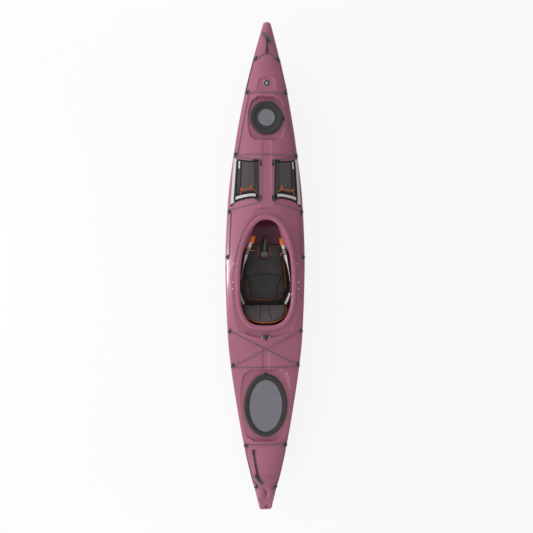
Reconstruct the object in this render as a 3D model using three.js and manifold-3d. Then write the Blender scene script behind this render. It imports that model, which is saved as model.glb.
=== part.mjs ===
// A touring kayak in rotomoulded plastic, as the pieces that it comes apart into.
// Lengths are in millimetres. +Z is up, +Y points to the bow and +X to starboard.
// The origin is on the floor, under the middle of the hull, where the keel is flat.
import * as THREE from 'three';
import { mergeVertices } from 'three/addons/utils/BufferGeometryUtils.js';
import Module from 'manifold-3d';

const wasm = await Module();
wasm.setup();

// Driving dimensions of the hull
const hullLength = 3810;
const hullBeam = 645;
const hullDepth = 400;
const wall = 4.5;
const seamDrop = 16;

// Clearances and overruns
const seatGap = 0.3;
const cutOverrun = 30;
const weldLength = 0.001;
const probe = 1;

// Shape of the hull along its length, from the stern (0) to the bow (1).
// Beam is a share of the half beam, the heights are shares of the depth.
const stationShares = [
  // along, beam, keel, sheer, crown
  [0.0, 0.05, 0.61, 0.672, 0.045],
  [0.0018, 0.085, 0.565, 0.672, 0.05],
  [0.0047, 0.122, 0.5, 0.671, 0.052],
  [0.0108, 0.168, 0.415, 0.669, 0.055],
  [0.021, 0.209, 0.315, 0.666, 0.058],
  [0.0412, 0.272, 0.19, 0.661, 0.062],
  [0.0614, 0.344, 0.12, 0.656, 0.067],
  [0.102, 0.462, 0.052, 0.648, 0.078],
  [0.143, 0.5665, 0.022, 0.64, 0.088],
  [0.184, 0.657, 0.008, 0.634, 0.094],
  [0.2257, 0.738, 0.002, 0.63, 0.096],
  [0.267, 0.8155, 0.0, 0.627, 0.096],
  [0.309, 0.882, 0.0, 0.624, 0.096],
  [0.3507, 0.933, 0.0, 0.622, 0.097],
  [0.372, 0.9475, 0.0, 0.622, 0.111],
  [0.392, 0.96, 0.0, 0.622, 0.14],
  [0.434, 0.981, 0.0, 0.622, 0.225],
  [0.476, 0.994, 0.0, 0.623, 0.272],
  [0.508, 1.0, 0.0, 0.624, 0.278],
  [0.539, 0.995, 0.0, 0.627, 0.272],
  [0.581, 0.977, 0.0, 0.634, 0.257],
  [0.622, 0.951, 0.0, 0.644, 0.24],
  [0.6635, 0.913, 0.0, 0.658, 0.232],
  [0.7047, 0.853, 0.004, 0.679, 0.222],
  [0.745, 0.783, 0.014, 0.705, 0.202],
  [0.786, 0.707, 0.032, 0.734, 0.182],
  [0.826, 0.619, 0.06, 0.769, 0.161],
  [0.866, 0.519, 0.103, 0.806, 0.136],
  [0.905, 0.406, 0.175, 0.85, 0.106],
  [0.944, 0.281, 0.312, 0.895, 0.077],
  [0.963, 0.2155, 0.42, 0.918, 0.064],
  [0.983, 0.1457, 0.58, 0.944, 0.049],
  [0.9924, 0.111, 0.692, 0.957, 0.04],
  [0.998, 0.075, 0.79, 0.965, 0.033],
  [1.0, 0.04, 0.86, 0.969, 0.031],
];

// Half sections under the gunwale: across as a share of the half beam, up as a share of keel to sheer.
// The first is the flat keel amidships, the second the vee at the ends.
const fullSectionShares = [
  [0.0, 0.0],
  [0.11, 0.0],
  [0.42, 0.052],
  [0.66, 0.11],
  [0.84, 0.25],
  [0.94, 0.52],
  [0.978, 0.82],
  [1.0, 1.0],
];
const veeSectionShares = [
  [0.0, 0.0],
  [0.1, 0.015],
  [0.29, 0.15],
  [0.47, 0.32],
  [0.65, 0.54],
  [0.82, 0.76],
  [0.94, 0.925],
  [1.0, 1.0],
];
const deckAcrossShares = [1, 0.96, 0.86, 0.7, 0.49, 0.25, 0];
const deckPower = 2.2;
const fullnessShares = [
  // along, share of the full section against the vee
  [0.0, 0.0],
  [0.1, 0.2],
  [0.25, 0.85],
  [0.35, 1.0],
  [0.64, 1.0],
  [0.76, 0.8],
  [0.9, 0.2],
  [1.0, 0.0],
];
const veeSideShare = 0.3;
const innerEndShare = 0.012;

// Cockpit and coaming
const coamingFrontY = 424;
const coamingWideY = -127;
const coamingAftY = -484;
const coamingWidth = 485;
const coamingFrontZ = hullDepth * 0.95;
const coamingSideZ = hullDepth * 0.7975;
const coamingAftZ = hullDepth * 0.765;
const coamingFrontPower = 2.2;
const coamingAftPower = 2.8;
const rimBand = 38;
const rimThickness = 11;
const rimRound = 4;
const riserWall = 7;
const riserDrop = 44;
const thighHook = 36;
const thighHookY = 270;
const thighHookReach = 190;
const coamingSteps = 40;
const troughBand = 46;
const troughDrop = 33;
const troughDraft = 12;

// Recesses in the deck. Each hatch's recess reaches past its cover by a margin fore and aft.
const recessDraft = 7;
const recessSteps = 7;
const bowHatchHalf = 130.5;
const bowHatchY = hullLength * 0.31024;
const bowRecessForeMargin = 22.5;
const bowRecessAftMargin = 35.5;
const bowRecess = {
  floor: hullDepth * 0.8325, foreHalf: 96, wideHalf: 140, aftHalf: 112, corner: 34,
  foreY: bowHatchY + bowHatchHalf + bowRecessForeMargin,
  aftY: bowHatchY - bowHatchHalf - bowRecessAftMargin,
};
const sternHatchHalf = 247;
const sternHatchY = hullLength * -0.28399;
const sternRecessForeMargin = 32;
const sternRecessAftMargin = 26;
const sternRecess = {
  floor: hullDepth * 0.6575, foreHalf: 152, wideHalf: 196, aftHalf: 128, corner: 40,
  foreY: sternHatchY + sternHatchHalf + sternRecessForeMargin,
  aftY: sternHatchY - sternHatchHalf - sternRecessAftMargin,
};
const badgeRecess = {
  depth: 12, foreY: hullLength * 0.39108, aftY: hullLength * 0.36562, foreHalf: 55, aftHalf: 88,
};
const badgeGroove = {
  depth: 5, foreY: badgeRecess.aftY + recessDraft, aftY: bowRecess.foreY - recessDraft, half: 41,
};
const foreGroove = { depth: 5, foreY: hullLength * 0.27034, aftY: hullLength * 0.13911, half: 32 };
const aftGroove = { depth: 5, foreY: hullLength * -0.16719, aftY: hullLength * -0.21522, half: 25 };
const sternEndY = -hullLength / 2;
const rudderFlatLength = 93;
const rudderFlat = { floor: hullDepth * 0.6925, foreY: sternEndY + rudderFlatLength };
const rudderBoss = { rise: 2, half: 62, length: 84, round: 14 };
const rudderSlotLength = 78;
const rudderSlotFromStern = 75;
const rudderSlot = {
  depth: 12, half: 7,
  foreY: sternEndY + rudderSlotFromStern + rudderSlotLength, aftY: sternEndY + rudderSlotFromStern,
};
const grooveDraft = 4;
const grooveSteps = 5;

// Hatches. Insets are from the cover's outline, heights from the floor of the recess.
const bowHatch = { y: bowHatchY, halfWidth: bowHatchHalf, halfLength: bowHatchHalf, panelInset: 65 };
const sternHatch = { y: sternHatchY, halfWidth: 172, halfLength: sternHatchHalf, panelInset: 42 };
const ovalSteps = 28;
const hatchOpeningInset = 27;
const hatchNeckWall = 4;
const hatchNeckDrop = 16;
const hatchFlangeInset = 10;
const hatchFlangeThickness = 4;
const hatchLipInset = 24;
const hatchLipHeight = 13;
const hatchBeadTop = 27;
const hatchBeadRound = 6;
const hatchBeadWidth = 36;
const hatchPlateTop = 19;
const hatchPanelThickness = 5;
const hatchPanelPocket = 2.5;
const hatchTabWidth = 34;
const hatchTabReach = 12;
const hatchTabThickness = 6;
const hatchTabHeight = 13;

// Bulkheads
const bulkheadThickness = 40;
const bowBulkheadY = hullLength * 0.2441;
const sternBulkheadY = hullLength * -0.15486;

// Seat pan
const seatFrontY = 199;
const seatRearY = -257;
const seatFrontHalf = 150;
const seatMiddleHalf = 172;
const seatRearHalf = 189;
const seatRearRound = 26;
const seatShoulder = 87;
const seatFrontZ = 113;
const seatRearZ = 83;
const panWall = 4;
const panMargin = 8;
const panFrontLip = 26;
const panRearLip = 58;
const panFootDrop = 150;
const ribHalf = 7;
const ribX = 118;

// Seat cushion
const cushionThickness = 34;
const cushionCrown = 9;
const cushionEdgeRound = 12;
const cushionMargin = 3;
const seamDepth = 4;
const seamHalf = 6;
const arcSeamY = -40;
const arcSeamBend = 42;
const sideSeamShares = [0.9, 0.58];
const cushionRowShares = [0, 0.02, 0.06, 0.15, 0.27, 0.38];
const cushionFrontRowShares = [0.58, 0.7, 0.82, 0.92, 0.97, 0.99, 1];
const cushionColumnShares = [0, 0.25, 0.5, 0.66, 0.71, 0.75, 0.79, 0.86, 0.94, 0.98, 1];
const cushionSeamShare = 0.75;
const cushionEndShare = 0.06;
const cushionCornerShare = 0.07;
const cushionRearRound = { across: 88, along: 145 };
const notchHalf = 42;
const notchDepth = 104;
const notchCorner = 13;

// Seat back
const backHingeY = -285;
const backHingeZ = 128;
const backLeanDegrees = 46;
const backHeight = 205;
const backFootHeight = 16;
const backHalf = 184;
const backFootHalf = 166;
const backTabHalf = 53;
const backTabRise = 6;
const backCushionThickness = 34;
const backFrameThickness = 7;
const backSeamFootX = 33;
const backSeamTopX = 52;
const backColumnShares = [0, 0.1, 0.17, 0.2, 0.23, 0.4, 0.6, 0.8, 0.92, 0.98, 1];
const backSeamShare = 0.2;
const backSeamMostShare = 0.8;
const backRowShares = [0, 0.03, 0.1, 0.25, 0.42, 0.58, 0.72, 0.84, 0.93, 0.98, 1];
const backOutlineShares = [
  // up the back, share of the half width
  [0.34, 1],
  [0.5, 0.975],
  [0.66, 0.885],
  [0.8, 0.74],
  [0.91, 0.54],
  [0.97, 0.4],
  [1, 0.29],
];
const pinRadius = 5;
const pinClearance = 0.12;
const pinSides = 16;
const earThickness = 7;
const earX = 112;
const earHalf = 12;

// Side straps and their buckles
const strapWidth = 25;
const strapThickness = 2;
const buckleLength = 34;
const buckleWidth = 36;
const buckleThickness = 10;
const slotClearance = 0.5;
const buckleWindowShare = 0.35;
const strapFrontX = 104;
const strapFrontY = 256;
const strapWideX = 203;
const strapRearX = 168;
const strapRearY = -285;
const strapUnderCoaming = 13;
const strapFrontZ = coamingSideZ - strapUnderCoaming;
const strapDrop = 136;
const strapRearZ = strapFrontZ - strapDrop;
const strapStationShares = [
  // across to its widest place, along and down from the front end to the rear end, turn of a right angle
  [0, 0, 0, 0.11],
  [0.12, 0.075, 0.055, 0.17],
  [0.3, 0.17, 0.095, 0.22],
  [0.42, 0.235, 0.11, 0.33],
  [0.58, 0.325, 0.14, 0.56],
  [0.75, 0.45, 0.22, 0.87],
  [0.89, 0.58, 0.33, 0.98],
  [0.99, 0.7, 0.45, 0.96],
  [1, 0.79, 0.57, 0.86],
  [0.87, 0.9, 0.79, 0.7],
];
const strapEndShare = 0.6;

// Strap and buckle that lift the front of the seat
const lifterRearY = 100;
const lifterReach = 176;
const lifterZ = 111.6;
const lifterRise = 28.4;
const lifterShares = [
  // along and up, as shares of the reach and the rise
  [0, 0.19],
  [0.102, 0.232],
  [0.227, 0.282],
  [0.432, 0.542],
  [0.625, 1],
  [0.898, 1],
  [1, 0.648],
  [0.955, 0.225],
  [0.784, 0.085],
  [0.557, 0],
];

// Foot braces
const railLength = 420;
const railHeight = 30;
const railThickness = 12;
const railForeX = 206;
const railAftX = 240;
const railFromBulkhead = 280;
const railMiddleY = bowBulkheadY - railFromBulkhead;
const railZ = 150;
const railPadLength = 28;
const railPadReach = 70;
const pedalHeight = 118;
const pedalWidth = 78;
const pedalThickness = 10;
const pedalRibSteps = 4;
const pedalRibShare = 0.4;
const shoeLength = 46;
const shoeWall = 5;
const shoeClearance = 0.4;

// Pad eyes
const sideEye = { length: 52, width: 20 };
const eyeFoot = 2.5;
const eyeFootEdge = 3;
const eyeShoulder = 9;
const eyeTop = 14;
const eyeSink = 8;
const eyeInset = 22;
const eyeHoleHalf = 8.5;
const eyeHoleTop = 10.8;
const eyeLeg = 12.5;
const eyeCornerShare = 0.35;
const bowToggleEye = { length: 34, width: 12 };
const sternToggleEye = { length: 38, width: 22 };
const eyeChamfer = 1;
// Side eyes from stern to bow, as shares of the length from the middle
const eyePlaceShares = {
  bow_tip: 0.42887, bow: 0.3622, bag: 0.23648, cockpit_fore: 0.11837, cockpit_mid: 0.0252,
  cockpit_aft: -0.12913, aft: -0.2, stern: -0.36693, stern_tip: -0.45249,
};

// Cords
const cordRadius = 2.5;
const cordClearance = 0.4;
const cordLift = 1.4;
const cordSides = 6;
const cordStep = 55;
const cordRunStep = 130;
const cordBend = 5.5;
const cordOverRise = 5.8;
const cordLane = 5.7;
const cordTurn = 18;
const cordReach = 16;
const knotRadius = 5;
const bagCordX = 57;

// Carry toggles
const toggleCordRadius = 3;
const toggleLength = 100;
const toggleRadius = 10;
const toggleEndRadius = 7;
const hubRadius = 10;
const hubLength = 24;
const bowEyeY = hullLength * 0.44042;
const bowCordReach = 97;
const bowGripTurnDegrees = -40;
const sternEyeX = -97;
const sternEyeY = hullLength * -0.37900;
const sternHubX = -62;
const sternHubY = hullLength * -0.43438;
const sternGripTurnDegrees = -50;
const toggleLaneShare = 0.75;
const toggleCordSink = 1;

// Deck bags
const bagCorners = {
  foreOuter: [250, hullLength * 0.22625], foreInner: [68, hullLength * 0.21811],
  aftInner: [64, hullLength * 0.14068], aftOuter: [277, hullLength * 0.13071],
};
const bagEndShare = 0.02;
const bagEdge = 4;
const bagLoft = 11;
const bagSteps = 7;

// Deck hook behind the cockpit
const hookFromCoaming = 50;
const hookY = coamingAftY - hookFromCoaming;
const deckHook = { length: 62, width: 20 };

// Drain plug
const plugRadius = 8;
const plugStem = 5;
const plugHead = 5;
const plugDepth = 16;
const plugFromStern = 22;
const plugY = sternEndY + plugFromStern;
const drainRadius = 3;

// A smooth curve through points in order, which never overshoots them.
function curveThrough(xs, ys) {
  const slopes = xs.slice(1).map((x, i) => (ys[i + 1] - ys[i]) / (x - xs[i]));
  const tangents = xs.map((_, i) => {
    if (i === 0) return slopes[0];
    if (i === xs.length - 1) return slopes[i - 1];
    const [before, after] = [slopes[i - 1], slopes[i]];
    if (before * after <= 0) return 0;
    const [left, right] = [xs[i] - xs[i - 1], xs[i + 1] - xs[i]];
    const [a, b] = [2 * right + left, right + 2 * left];
    return (a + b) / (a / before + b / after);
  });
  return (x) => {
    const at = Math.min(Math.max(x, xs[0]), xs[xs.length - 1]);
    let i = xs.findIndex((known) => known > at) - 1;
    if (i < 0) i = xs.length - 2;
    const span = xs[i + 1] - xs[i];
    const t = (at - xs[i]) / span;
    const [t2, t3] = [t * t, t * t * t];
    return (2 * t3 - 3 * t2 + 1) * ys[i] + (t3 - 2 * t2 + t) * span * tangents[i]
      + (3 * t2 - 2 * t3) * ys[i + 1] + (t3 - t2) * span * tangents[i + 1];
  };
}

const column = (rows, i) => rows.map((row) => row[i]);
const along = column(stationShares, 0);
const beamAt = curveThrough(along, column(stationShares, 1));
const keelAt = curveThrough(along, column(stationShares, 2));
const sheerAt = curveThrough(along, column(stationShares, 3));
const crownAt = curveThrough(along, column(stationShares, 4));
const fullnessAt = curveThrough(column(fullnessShares, 0), column(fullnessShares, 1));

const shareOf = (y) => y / hullLength + 0.5;
const placeOf = (share) => (share - 0.5) * hullLength;
const halfBeam = (y) => beamAt(shareOf(y)) * (hullBeam / 2);
const keelZ = (y) => keelAt(shareOf(y)) * hullDepth;
const sheerZ = (y) => sheerAt(shareOf(y)) * hullDepth;
const crown = (y) => crownAt(shareOf(y)) * hullDepth;

// Height of the plain deck, before any recess is cut into it.
function deckZ(x, y) {
  const across = Math.min(Math.abs(x) / halfBeam(y), 1);
  return sheerZ(y) + crown(y) * (1 - across ** deckPower);
}

// Turns a closed geometry into a solid that can be cut and joined.
function solid(geometry) {
  const bare = geometry.index ? geometry.toNonIndexed() : geometry.clone();
  for (const name of Object.keys(bare.attributes)) {
    if (name !== 'position') bare.deleteAttribute(name);
  }
  const merged = mergeVertices(bare, weldLength);
  return new wasm.Manifold(new wasm.Mesh({
    numProp: 3,
    vertProperties: merged.attributes.position.array,
    triVerts: new Uint32Array(merged.index.array),
  }));
}

// Turns a solid back into a geometry.
function geometryOf(body) {
  const mesh = body.getMesh();
  const places = new Float32Array(mesh.numVert * 3);
  for (let i = 0; i < mesh.numVert; i += 1) {
    const start = i * mesh.numProp;
    places.set(mesh.vertProperties.subarray(start, start + 3), i * 3);
  }
  const geometry = new THREE.BufferGeometry();
  geometry.setAttribute('position', new THREE.BufferAttribute(places, 3));
  geometry.setIndex(new THREE.BufferAttribute(new Uint32Array(mesh.triVerts), 1));
  geometry.computeVertexNormals();
  return geometry;
}

// A closed skin over rings of points, all with the same count. Without a loop, its two ends are capped.
function skin(rings, { loop = false } = {}) {
  const count = rings[0].length;
  const places = rings.flat();
  const faces = [];
  const at = (ring, i) => (ring % rings.length) * count + (i % count);
  const last = loop ? rings.length : rings.length - 1;
  for (let r = 0; r < last; r += 1) {
    for (let i = 0; i < count; i += 1) {
      faces.push([at(r, i), at(r, i + 1), at(r + 1, i + 1)], [at(r, i), at(r + 1, i + 1), at(r + 1, i)]);
    }
  }
  if (!loop) {
    for (const [ring, flip] of [[0, true], [rings.length - 1, false]]) {
      const middle = new THREE.Vector3();
      for (const point of rings[ring]) middle.addScaledVector(point, 1 / count);
      const centre = places.push(middle) - 1;
      for (let i = 0; i < count; i += 1) {
        const [a, b] = [at(ring, i), at(ring, i + 1)];
        faces.push(flip ? [centre, b, a] : [centre, a, b]);
      }
    }
  }
  const [edge, turned] = [new THREE.Vector3(), new THREE.Vector3()];
  let volume = 0;
  for (const [a, b, c] of faces) {
    volume += places[a].dot(turned.crossVectors(edge.copy(places[b]), places[c]));
  }
  const index = faces.flatMap((face) => (volume < 0 ? [face[0], face[2], face[1]] : face));
  const geometry = new THREE.BufferGeometry().setFromPoints(places);
  geometry.setIndex(index);
  return geometry;
}

const skinSolid = (rings, options) => solid(skin(rings, options));

// A section of the hull as a ring of points, moved outwards by grow.
// The vee at the ends is moved further, which keeps the wall even there.
function hullRing(y, grow) {
  const full = fullnessAt(shareOf(y));
  const vee = 1 - full;
  const half = halfBeam(y) + grow * (1 + veeSideShare * vee);
  const keel = keelZ(y) - grow * (1 + vee);
  const sheer = sheerZ(y) + grow;
  const side = fullSectionShares.map(([across, up], i) => {
    const [veeAcross, veeUp] = veeSectionShares[i];
    return [half * (across * full + veeAcross * vee), keel + (sheer - keel) * (up * full + veeUp * vee)];
  });
  for (const share of deckAcrossShares.slice(1)) {
    side.push([share * half, sheer + crown(y) * (1 - share ** deckPower)]);
  }
  const other = side.slice(1, -1).reverse().map(([x, z]) => [-x, z]);
  return [...side, ...other].map(([x, z]) => new THREE.Vector3(x, y, z));
}

// Station places: each row of the table between two ends.
function hullStations(from, to) {
  const inside = along.filter((share) => share > from && share < to);
  return [from, ...inside, to].map(placeOf);
}

// A cutter or filler that is the same on both sides of the middle: half(y) wide, from low(y) up to high(y).
function bay(places, half, low, high, draft = 0) {
  return skinSolid(places.map((y) => [
    new THREE.Vector3(-half(y), y, low(y)),
    new THREE.Vector3(half(y), y, low(y)),
    new THREE.Vector3(half(y) + draft, y, high(y)),
    new THREE.Vector3(-half(y) - draft, y, high(y)),
  ]));
}

const skyZ = () => hullDepth + cutOverrun;

// Places between two ends, both of them included.
function spaced(from, to, steps) {
  return Array.from({ length: steps + 1 }, (_, i) => from + ((to - from) * i) / steps);
}

// The outline of the coaming's outer edge, moved inwards by inset, as x and y for an angle from the bow.
function coamingPoint(angle, inset) {
  const fore = Math.cos(angle) >= 0;
  const reach = fore ? coamingFrontY - coamingWideY : coamingWideY - coamingAftY;
  const power = fore ? coamingFrontPower : coamingAftPower;
  const half = coamingWidth / 2;
  const [s, c] = [Math.sin(angle), Math.cos(angle)];
  const x = half * Math.sign(s) * Math.abs(s) ** (2 / power);
  const y = reach * Math.sign(c) * Math.abs(c) ** (2 / power);
  const steep = [
    Math.sign(x) * (Math.abs(x) / half) ** (power - 1) / half,
    Math.sign(y) * (Math.abs(y) / reach) ** (power - 1) / reach,
  ];
  const size = Math.hypot(...steep);
  const step = typeof inset === 'function' ? inset(coamingWideY + y) : inset;
  return [x - (step * steep[0]) / size, coamingWideY + y - (step * steep[1]) / size];
}

const rimZ = curveThrough(
  [coamingAftY, coamingWideY, (coamingWideY + coamingFrontY) / 2, coamingFrontY],
  [coamingAftZ, coamingSideZ, (coamingSideZ + coamingFrontZ) / 2 - riserWall, coamingFrontZ],
);

// The lower edge of the coaming leans in beside the thighs.
function hookAt(y) {
  const away = Math.min(Math.abs(y - thighHookY) / thighHookReach, 1);
  return thighHook * (1 - away * away) ** 2;
}

// Half outline of the coaming at an inset, from aft to fore.
function coamingHalves(inset) {
  const angles = spaced(Math.PI, 0, coamingSteps / 2);
  return angles.map((angle) => coamingPoint(angle, inset)).map(([x, y]) => [Math.max(x, 0), y]);
}

// A cutter through the coaming's outline at an inset, between two heights.
function coamingBay(inset, low, high, draft = 0) {
  const halves = coamingHalves(inset).filter(([, y], i, all) => i === 0 || y > all[i - 1][1] + weldLength);
  const half = curveThrough(column(halves, 1), column(halves, 0));
  const thin = seatGap;
  return bay(column(halves, 1), (y) => Math.max(half(y), thin), low, high, draft);
}

// Outline of a recess: straight sides that widen and narrow again, with its corners cut.
function recessHalf({ foreY, aftY, foreHalf, wideHalf, aftHalf, corner }) {
  const middle = (foreY + aftY) / 2;
  const ends = [aftHalf - corner, foreHalf - corner];
  return curveThrough(
    [aftY, aftY + corner / 2, aftY + corner * 1.5, middle, foreY - corner * 1.5, foreY - corner / 2, foreY],
    [ends[0], aftHalf, (aftHalf + wideHalf) / 2, wideHalf, (foreHalf + wideHalf) / 2, foreHalf, ends[1]],
  );
}

// Everything that is sunk into the deck. Growth is the wall when the inside is shaped.
function deckRecesses(grow) {
  const cuts = [];
  for (const place of [bowRecess, sternRecess]) {
    const half = recessHalf(place);
    const ys = spaced(place.aftY - grow, place.foreY + grow, recessSteps);
    cuts.push(bay(ys, (y) => half(y) + grow, () => place.floor - grow, skyZ, recessDraft));
  }
  const badge = badgeRecess;
  cuts.push(bay(
    [badge.aftY - grow, badge.foreY + grow],
    (y) => (y < badge.foreY ? badge.aftHalf : badge.foreHalf) + grow,
    (y) => deckZ(0, y) - badge.depth - grow, skyZ, recessDraft,
  ));
  for (const [place, steps] of [[badgeGroove, 1], [foreGroove, grooveSteps], [aftGroove, grooveSteps]]) {
    cuts.push(bay(
      spaced(place.aftY, place.foreY, steps), () => place.half + grow,
      (y) => deckZ(0, y) - place.depth - grow, skyZ, grooveDraft,
    ));
  }
  cuts.push(bay(
    [placeOf(0) - cutOverrun, rudderFlat.foreY + grow], () => hullBeam / 2,
    () => rudderFlat.floor - grow, skyZ,
  ));
  cuts.push(bay(
    [rudderSlot.aftY - grow, rudderSlot.foreY + grow], () => rudderSlot.half + grow,
    (y) => deckZ(0, y) - rudderSlot.depth - grow, skyZ,
  ));
  cuts.push(coamingBay(-troughBand - grow, (y) => rimZ(y) - troughDrop - grow, skyZ, troughDraft));
  return wasm.Manifold.union(cuts);
}

// The raised boss at the stern, which carries the rudder slot. Its fore end is rounded off.
function makeRudderBoss(grow) {
  const { rise, half, length, round } = rudderBoss;
  const roundY = rudderFlat.foreY + length - round;
  return bay(
    [rudderFlat.foreY, roundY, roundY + round + grow], (y) => (y > roundY ? half - round : half) + grow,
    sheerZ, (y) => deckZ(0, y) + rise + grow, -rise,
  );
}

// The plain hull and deck as one closed body, moved outwards by grow.
function hullOutside(grow) {
  const plain = skinSolid(hullStations(0, 1).map((y) => hullRing(y, grow)));
  return plain.add(makeRudderBoss(grow)).subtract(deckRecesses(-grow));
}

// The room inside the hull, moved inwards by inset from its outer face.
function hullInside(inset) {
  const places = hullStations(innerEndShare, 1 - innerEndShare);
  const plain = skinSolid(places.map((y) => hullRing(y, -inset)));
  return plain.add(makeRudderBoss(-inset)).subtract(deckRecesses(inset));
}

// A ring or a lid that follows an oval. Profile points are inset and height; a lid's run from axis to axis.
function oval({ y, halfWidth, halfLength }, profile, base, lid) {
  const angles = spaced(0, 2 * Math.PI, ovalSteps).slice(0, -1);
  const rings = profile.map(([inset, height]) => angles.map((angle) => {
    const [c, s] = [Math.cos(angle), Math.sin(angle)];
    const size = Math.hypot(c / halfWidth, s / halfLength);
    return new THREE.Vector3(
      halfWidth * c - (inset * c) / halfWidth / size,
      y + halfLength * s - (inset * s) / halfLength / size,
      base + height,
    );
  }));
  return skinSolid(rings, { loop: !lid });
}

// A box from its centre and its three sizes.
function block(x, y, z, width, length, height) {
  const geometry = new THREE.BoxGeometry(width, length, height);
  return solid(geometry.translate(x, y, z));
}

// A round bar along one axis.
function rod(radius, length, axis, x, y, z, sides = 12) {
  const geometry = new THREE.CylinderGeometry(radius, radius, length, sides);
  if (axis === 'x') geometry.rotateZ(Math.PI / 2);
  if (axis === 'z') geometry.rotateX(Math.PI / 2);
  return solid(geometry.translate(x, y, z));
}

// Everything under the seam of the moulding, which runs below the gunwale all round.
function underSeam(grow) {
  const ys = [sternEndY - cutOverrun, ...hullStations(0, 1).slice(1, -1), -sternEndY + cutOverrun];
  return bay(ys, () => hullBeam, () => -cutOverrun, (y) => sheerZ(y) - seamDrop + grow);
}

// A ring round the coaming at an inset and a height from the rim.
// Hooked is the share of the lean beside the thighs.
function coamingRing(inset, height, hooked) {
  return spaced(0, 2 * Math.PI, coamingSteps).slice(0, -1).map((angle) => {
    const [, outerY] = coamingPoint(angle, 0);
    const [x, y] = coamingPoint(angle, inset + hooked * hookAt(outerY));
    return new THREE.Vector3(x, y, rimZ(y) + height);
  });
}

// The rolled rim that a spray skirt grips, on its riser.
function makeCoaming() {
  const profile = [
    [0, -rimThickness, 0],
    [0, -rimRound, 0],
    [rimRound, 0, 0],
    [rimBand - rimRound, 0, 0],
    [rimBand, -rimRound, 0],
    [rimBand, -riserDrop, 1],
    [rimBand - riserWall, -riserDrop, 1],
    [rimBand - riserWall, -rimThickness, 0],
  ];
  return skinSolid(profile.map((station) => coamingRing(...station)), { loop: true });
}

// What is cut from the deck for the cockpit: it stays just clear of the coaming's riser.
function cockpitOpening() {
  const inset = rimBand - riserWall - seatGap;
  return skinSolid([
    coamingRing(inset, -hullDepth / 4, 1),
    coamingRing(inset, -riserDrop, 1),
    coamingRing(inset, -rimThickness, 0),
    coamingRing(inset, hullDepth, 0),
  ]);
}

// The lower half of the shell: bottom and sides.
function makeHull() {
  const places = hullStations(0, 1);
  const outside = skinSolid(places.map((y) => hullRing(y, 0)));
  return outside.subtract(hullInside(wall)).intersect(underSeam(0));
}

// The upper half: deck with its recesses, the cockpit opening and the two hatch openings.
function makeDeck() {
  let body = hullOutside(0).subtract(hullInside(wall)).subtract(underSeam(seatGap));
  body = body.subtract(cockpitOpening());
  for (const [hatch, recess] of [[bowHatch, bowRecess], [sternHatch, sternRecess]]) {
    const profile = [[hatchOpeningInset, -hatchNeckDrop], [hatchOpeningInset, cutOverrun]];
    body = body.subtract(oval(hatch, profile, recess.floor, true));
  }
  const boreZ = rudderFlat.floor - plugDepth - drainRadius;
  const boreLength = cutOverrun + plugDepth;
  const bore = rod(plugStem + seatGap, boreLength, 'z', 0, plugY, boreZ + boreLength / 2);
  const drain = rod(drainRadius, cutOverrun, 'y', 0, plugY + cutOverrun / 2, boreZ + drainRadius);
  return body.subtract(bore).subtract(drain);
}

const deckSurface = hullOutside(seatGap);
const cabin = hullInside(wall + seatGap);

// A frame on the deck: x across it, y along the gunwale, z out of it.
function deckFrame(x, y, alongGunwale = true) {
  const slopeX = (deckZ(x + probe, y) - deckZ(x - probe, y)) / (2 * probe);
  const slopeY = (deckZ(x, y + probe) - deckZ(x, y - probe)) / (2 * probe);
  const up = new THREE.Vector3(-slopeX, -slopeY, 1).normalize();
  const edge = ((halfBeam(y + probe) - halfBeam(y - probe)) / (2 * probe)) * Math.sign(x);
  const run = new THREE.Vector3(alongGunwale ? edge : 0, 1, 0);
  run.addScaledVector(up, -run.dot(up)).normalize();
  const across = run.clone().cross(up);
  return new THREE.Matrix4().makeBasis(across, run, up).setPosition(x, y, deckZ(x, y));
}

const placed = (body, matrix) => body.transform(matrix.elements);
const yRun = new THREE.Matrix4().makeBasis(
  new THREE.Vector3(0, 1, 0), new THREE.Vector3(0, 0, 1), new THREE.Vector3(1, 0, 0),
);

// A pad eye: an arch on two screwed feet, trimmed to the deck under it.
function padEye(matrix, { length, width }) {
  const half = length / 2;
  const shape = new THREE.Shape([
    [-half, -eyeSink], [half, -eyeSink], [half, eyeFootEdge], [eyeLeg + eyeFoot, eyeFoot + eyeChamfer],
    [eyeLeg, eyeShoulder], [eyeHoleHalf, eyeTop], [-eyeHoleHalf, eyeTop],
    [-eyeLeg, eyeShoulder], [-eyeLeg - eyeFoot, eyeFoot + eyeChamfer],
    [-half, eyeFootEdge],
  ].map(([u, v]) => new THREE.Vector2(u, v)));
  shape.holes.push(new THREE.Path([
    [-eyeHoleHalf, eyeFoot], [eyeHoleHalf, eyeFoot], [eyeHoleHalf, eyeHoleTop - eyeFoot],
    [eyeHoleHalf - eyeFoot, eyeHoleTop], [eyeFoot - eyeHoleHalf, eyeHoleTop],
    [-eyeHoleHalf, eyeHoleTop - eyeFoot],
  ].map(([u, v]) => new THREE.Vector2(u, v))));
  const arch = new THREE.ExtrudeGeometry(shape, { depth: width, bevelEnabled: false, curveSegments: 1 });
  arch.translate(0, 0, -width / 2).applyMatrix4(yRun);
  const [x, y, c] = [width / 2, half, width * eyeCornerShare];
  const outline = [
    [x, c - y], [x, y - c], [x - c, y], [c - x, y], [-x, y - c], [-x, c - y], [c - x, -y], [x - c, -y],
  ];
  const ends = [-eyeSink, eyeTop + eyeSink];
  const prism = ends.map((z) => outline.map(([u, v]) => new THREE.Vector3(u, v, z)));
  return placed(solid(arch).intersect(skinSolid(prism)), matrix).subtract(deckSurface);
}

const eyeFrame = (name, side) => {
  const y = eyePlaceShares[name] * hullLength;
  return deckFrame(side * (halfBeam(y) - eyeInset), y);
};

const cordRise = eyeFoot + eyeChamfer + cordClearance;

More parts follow.
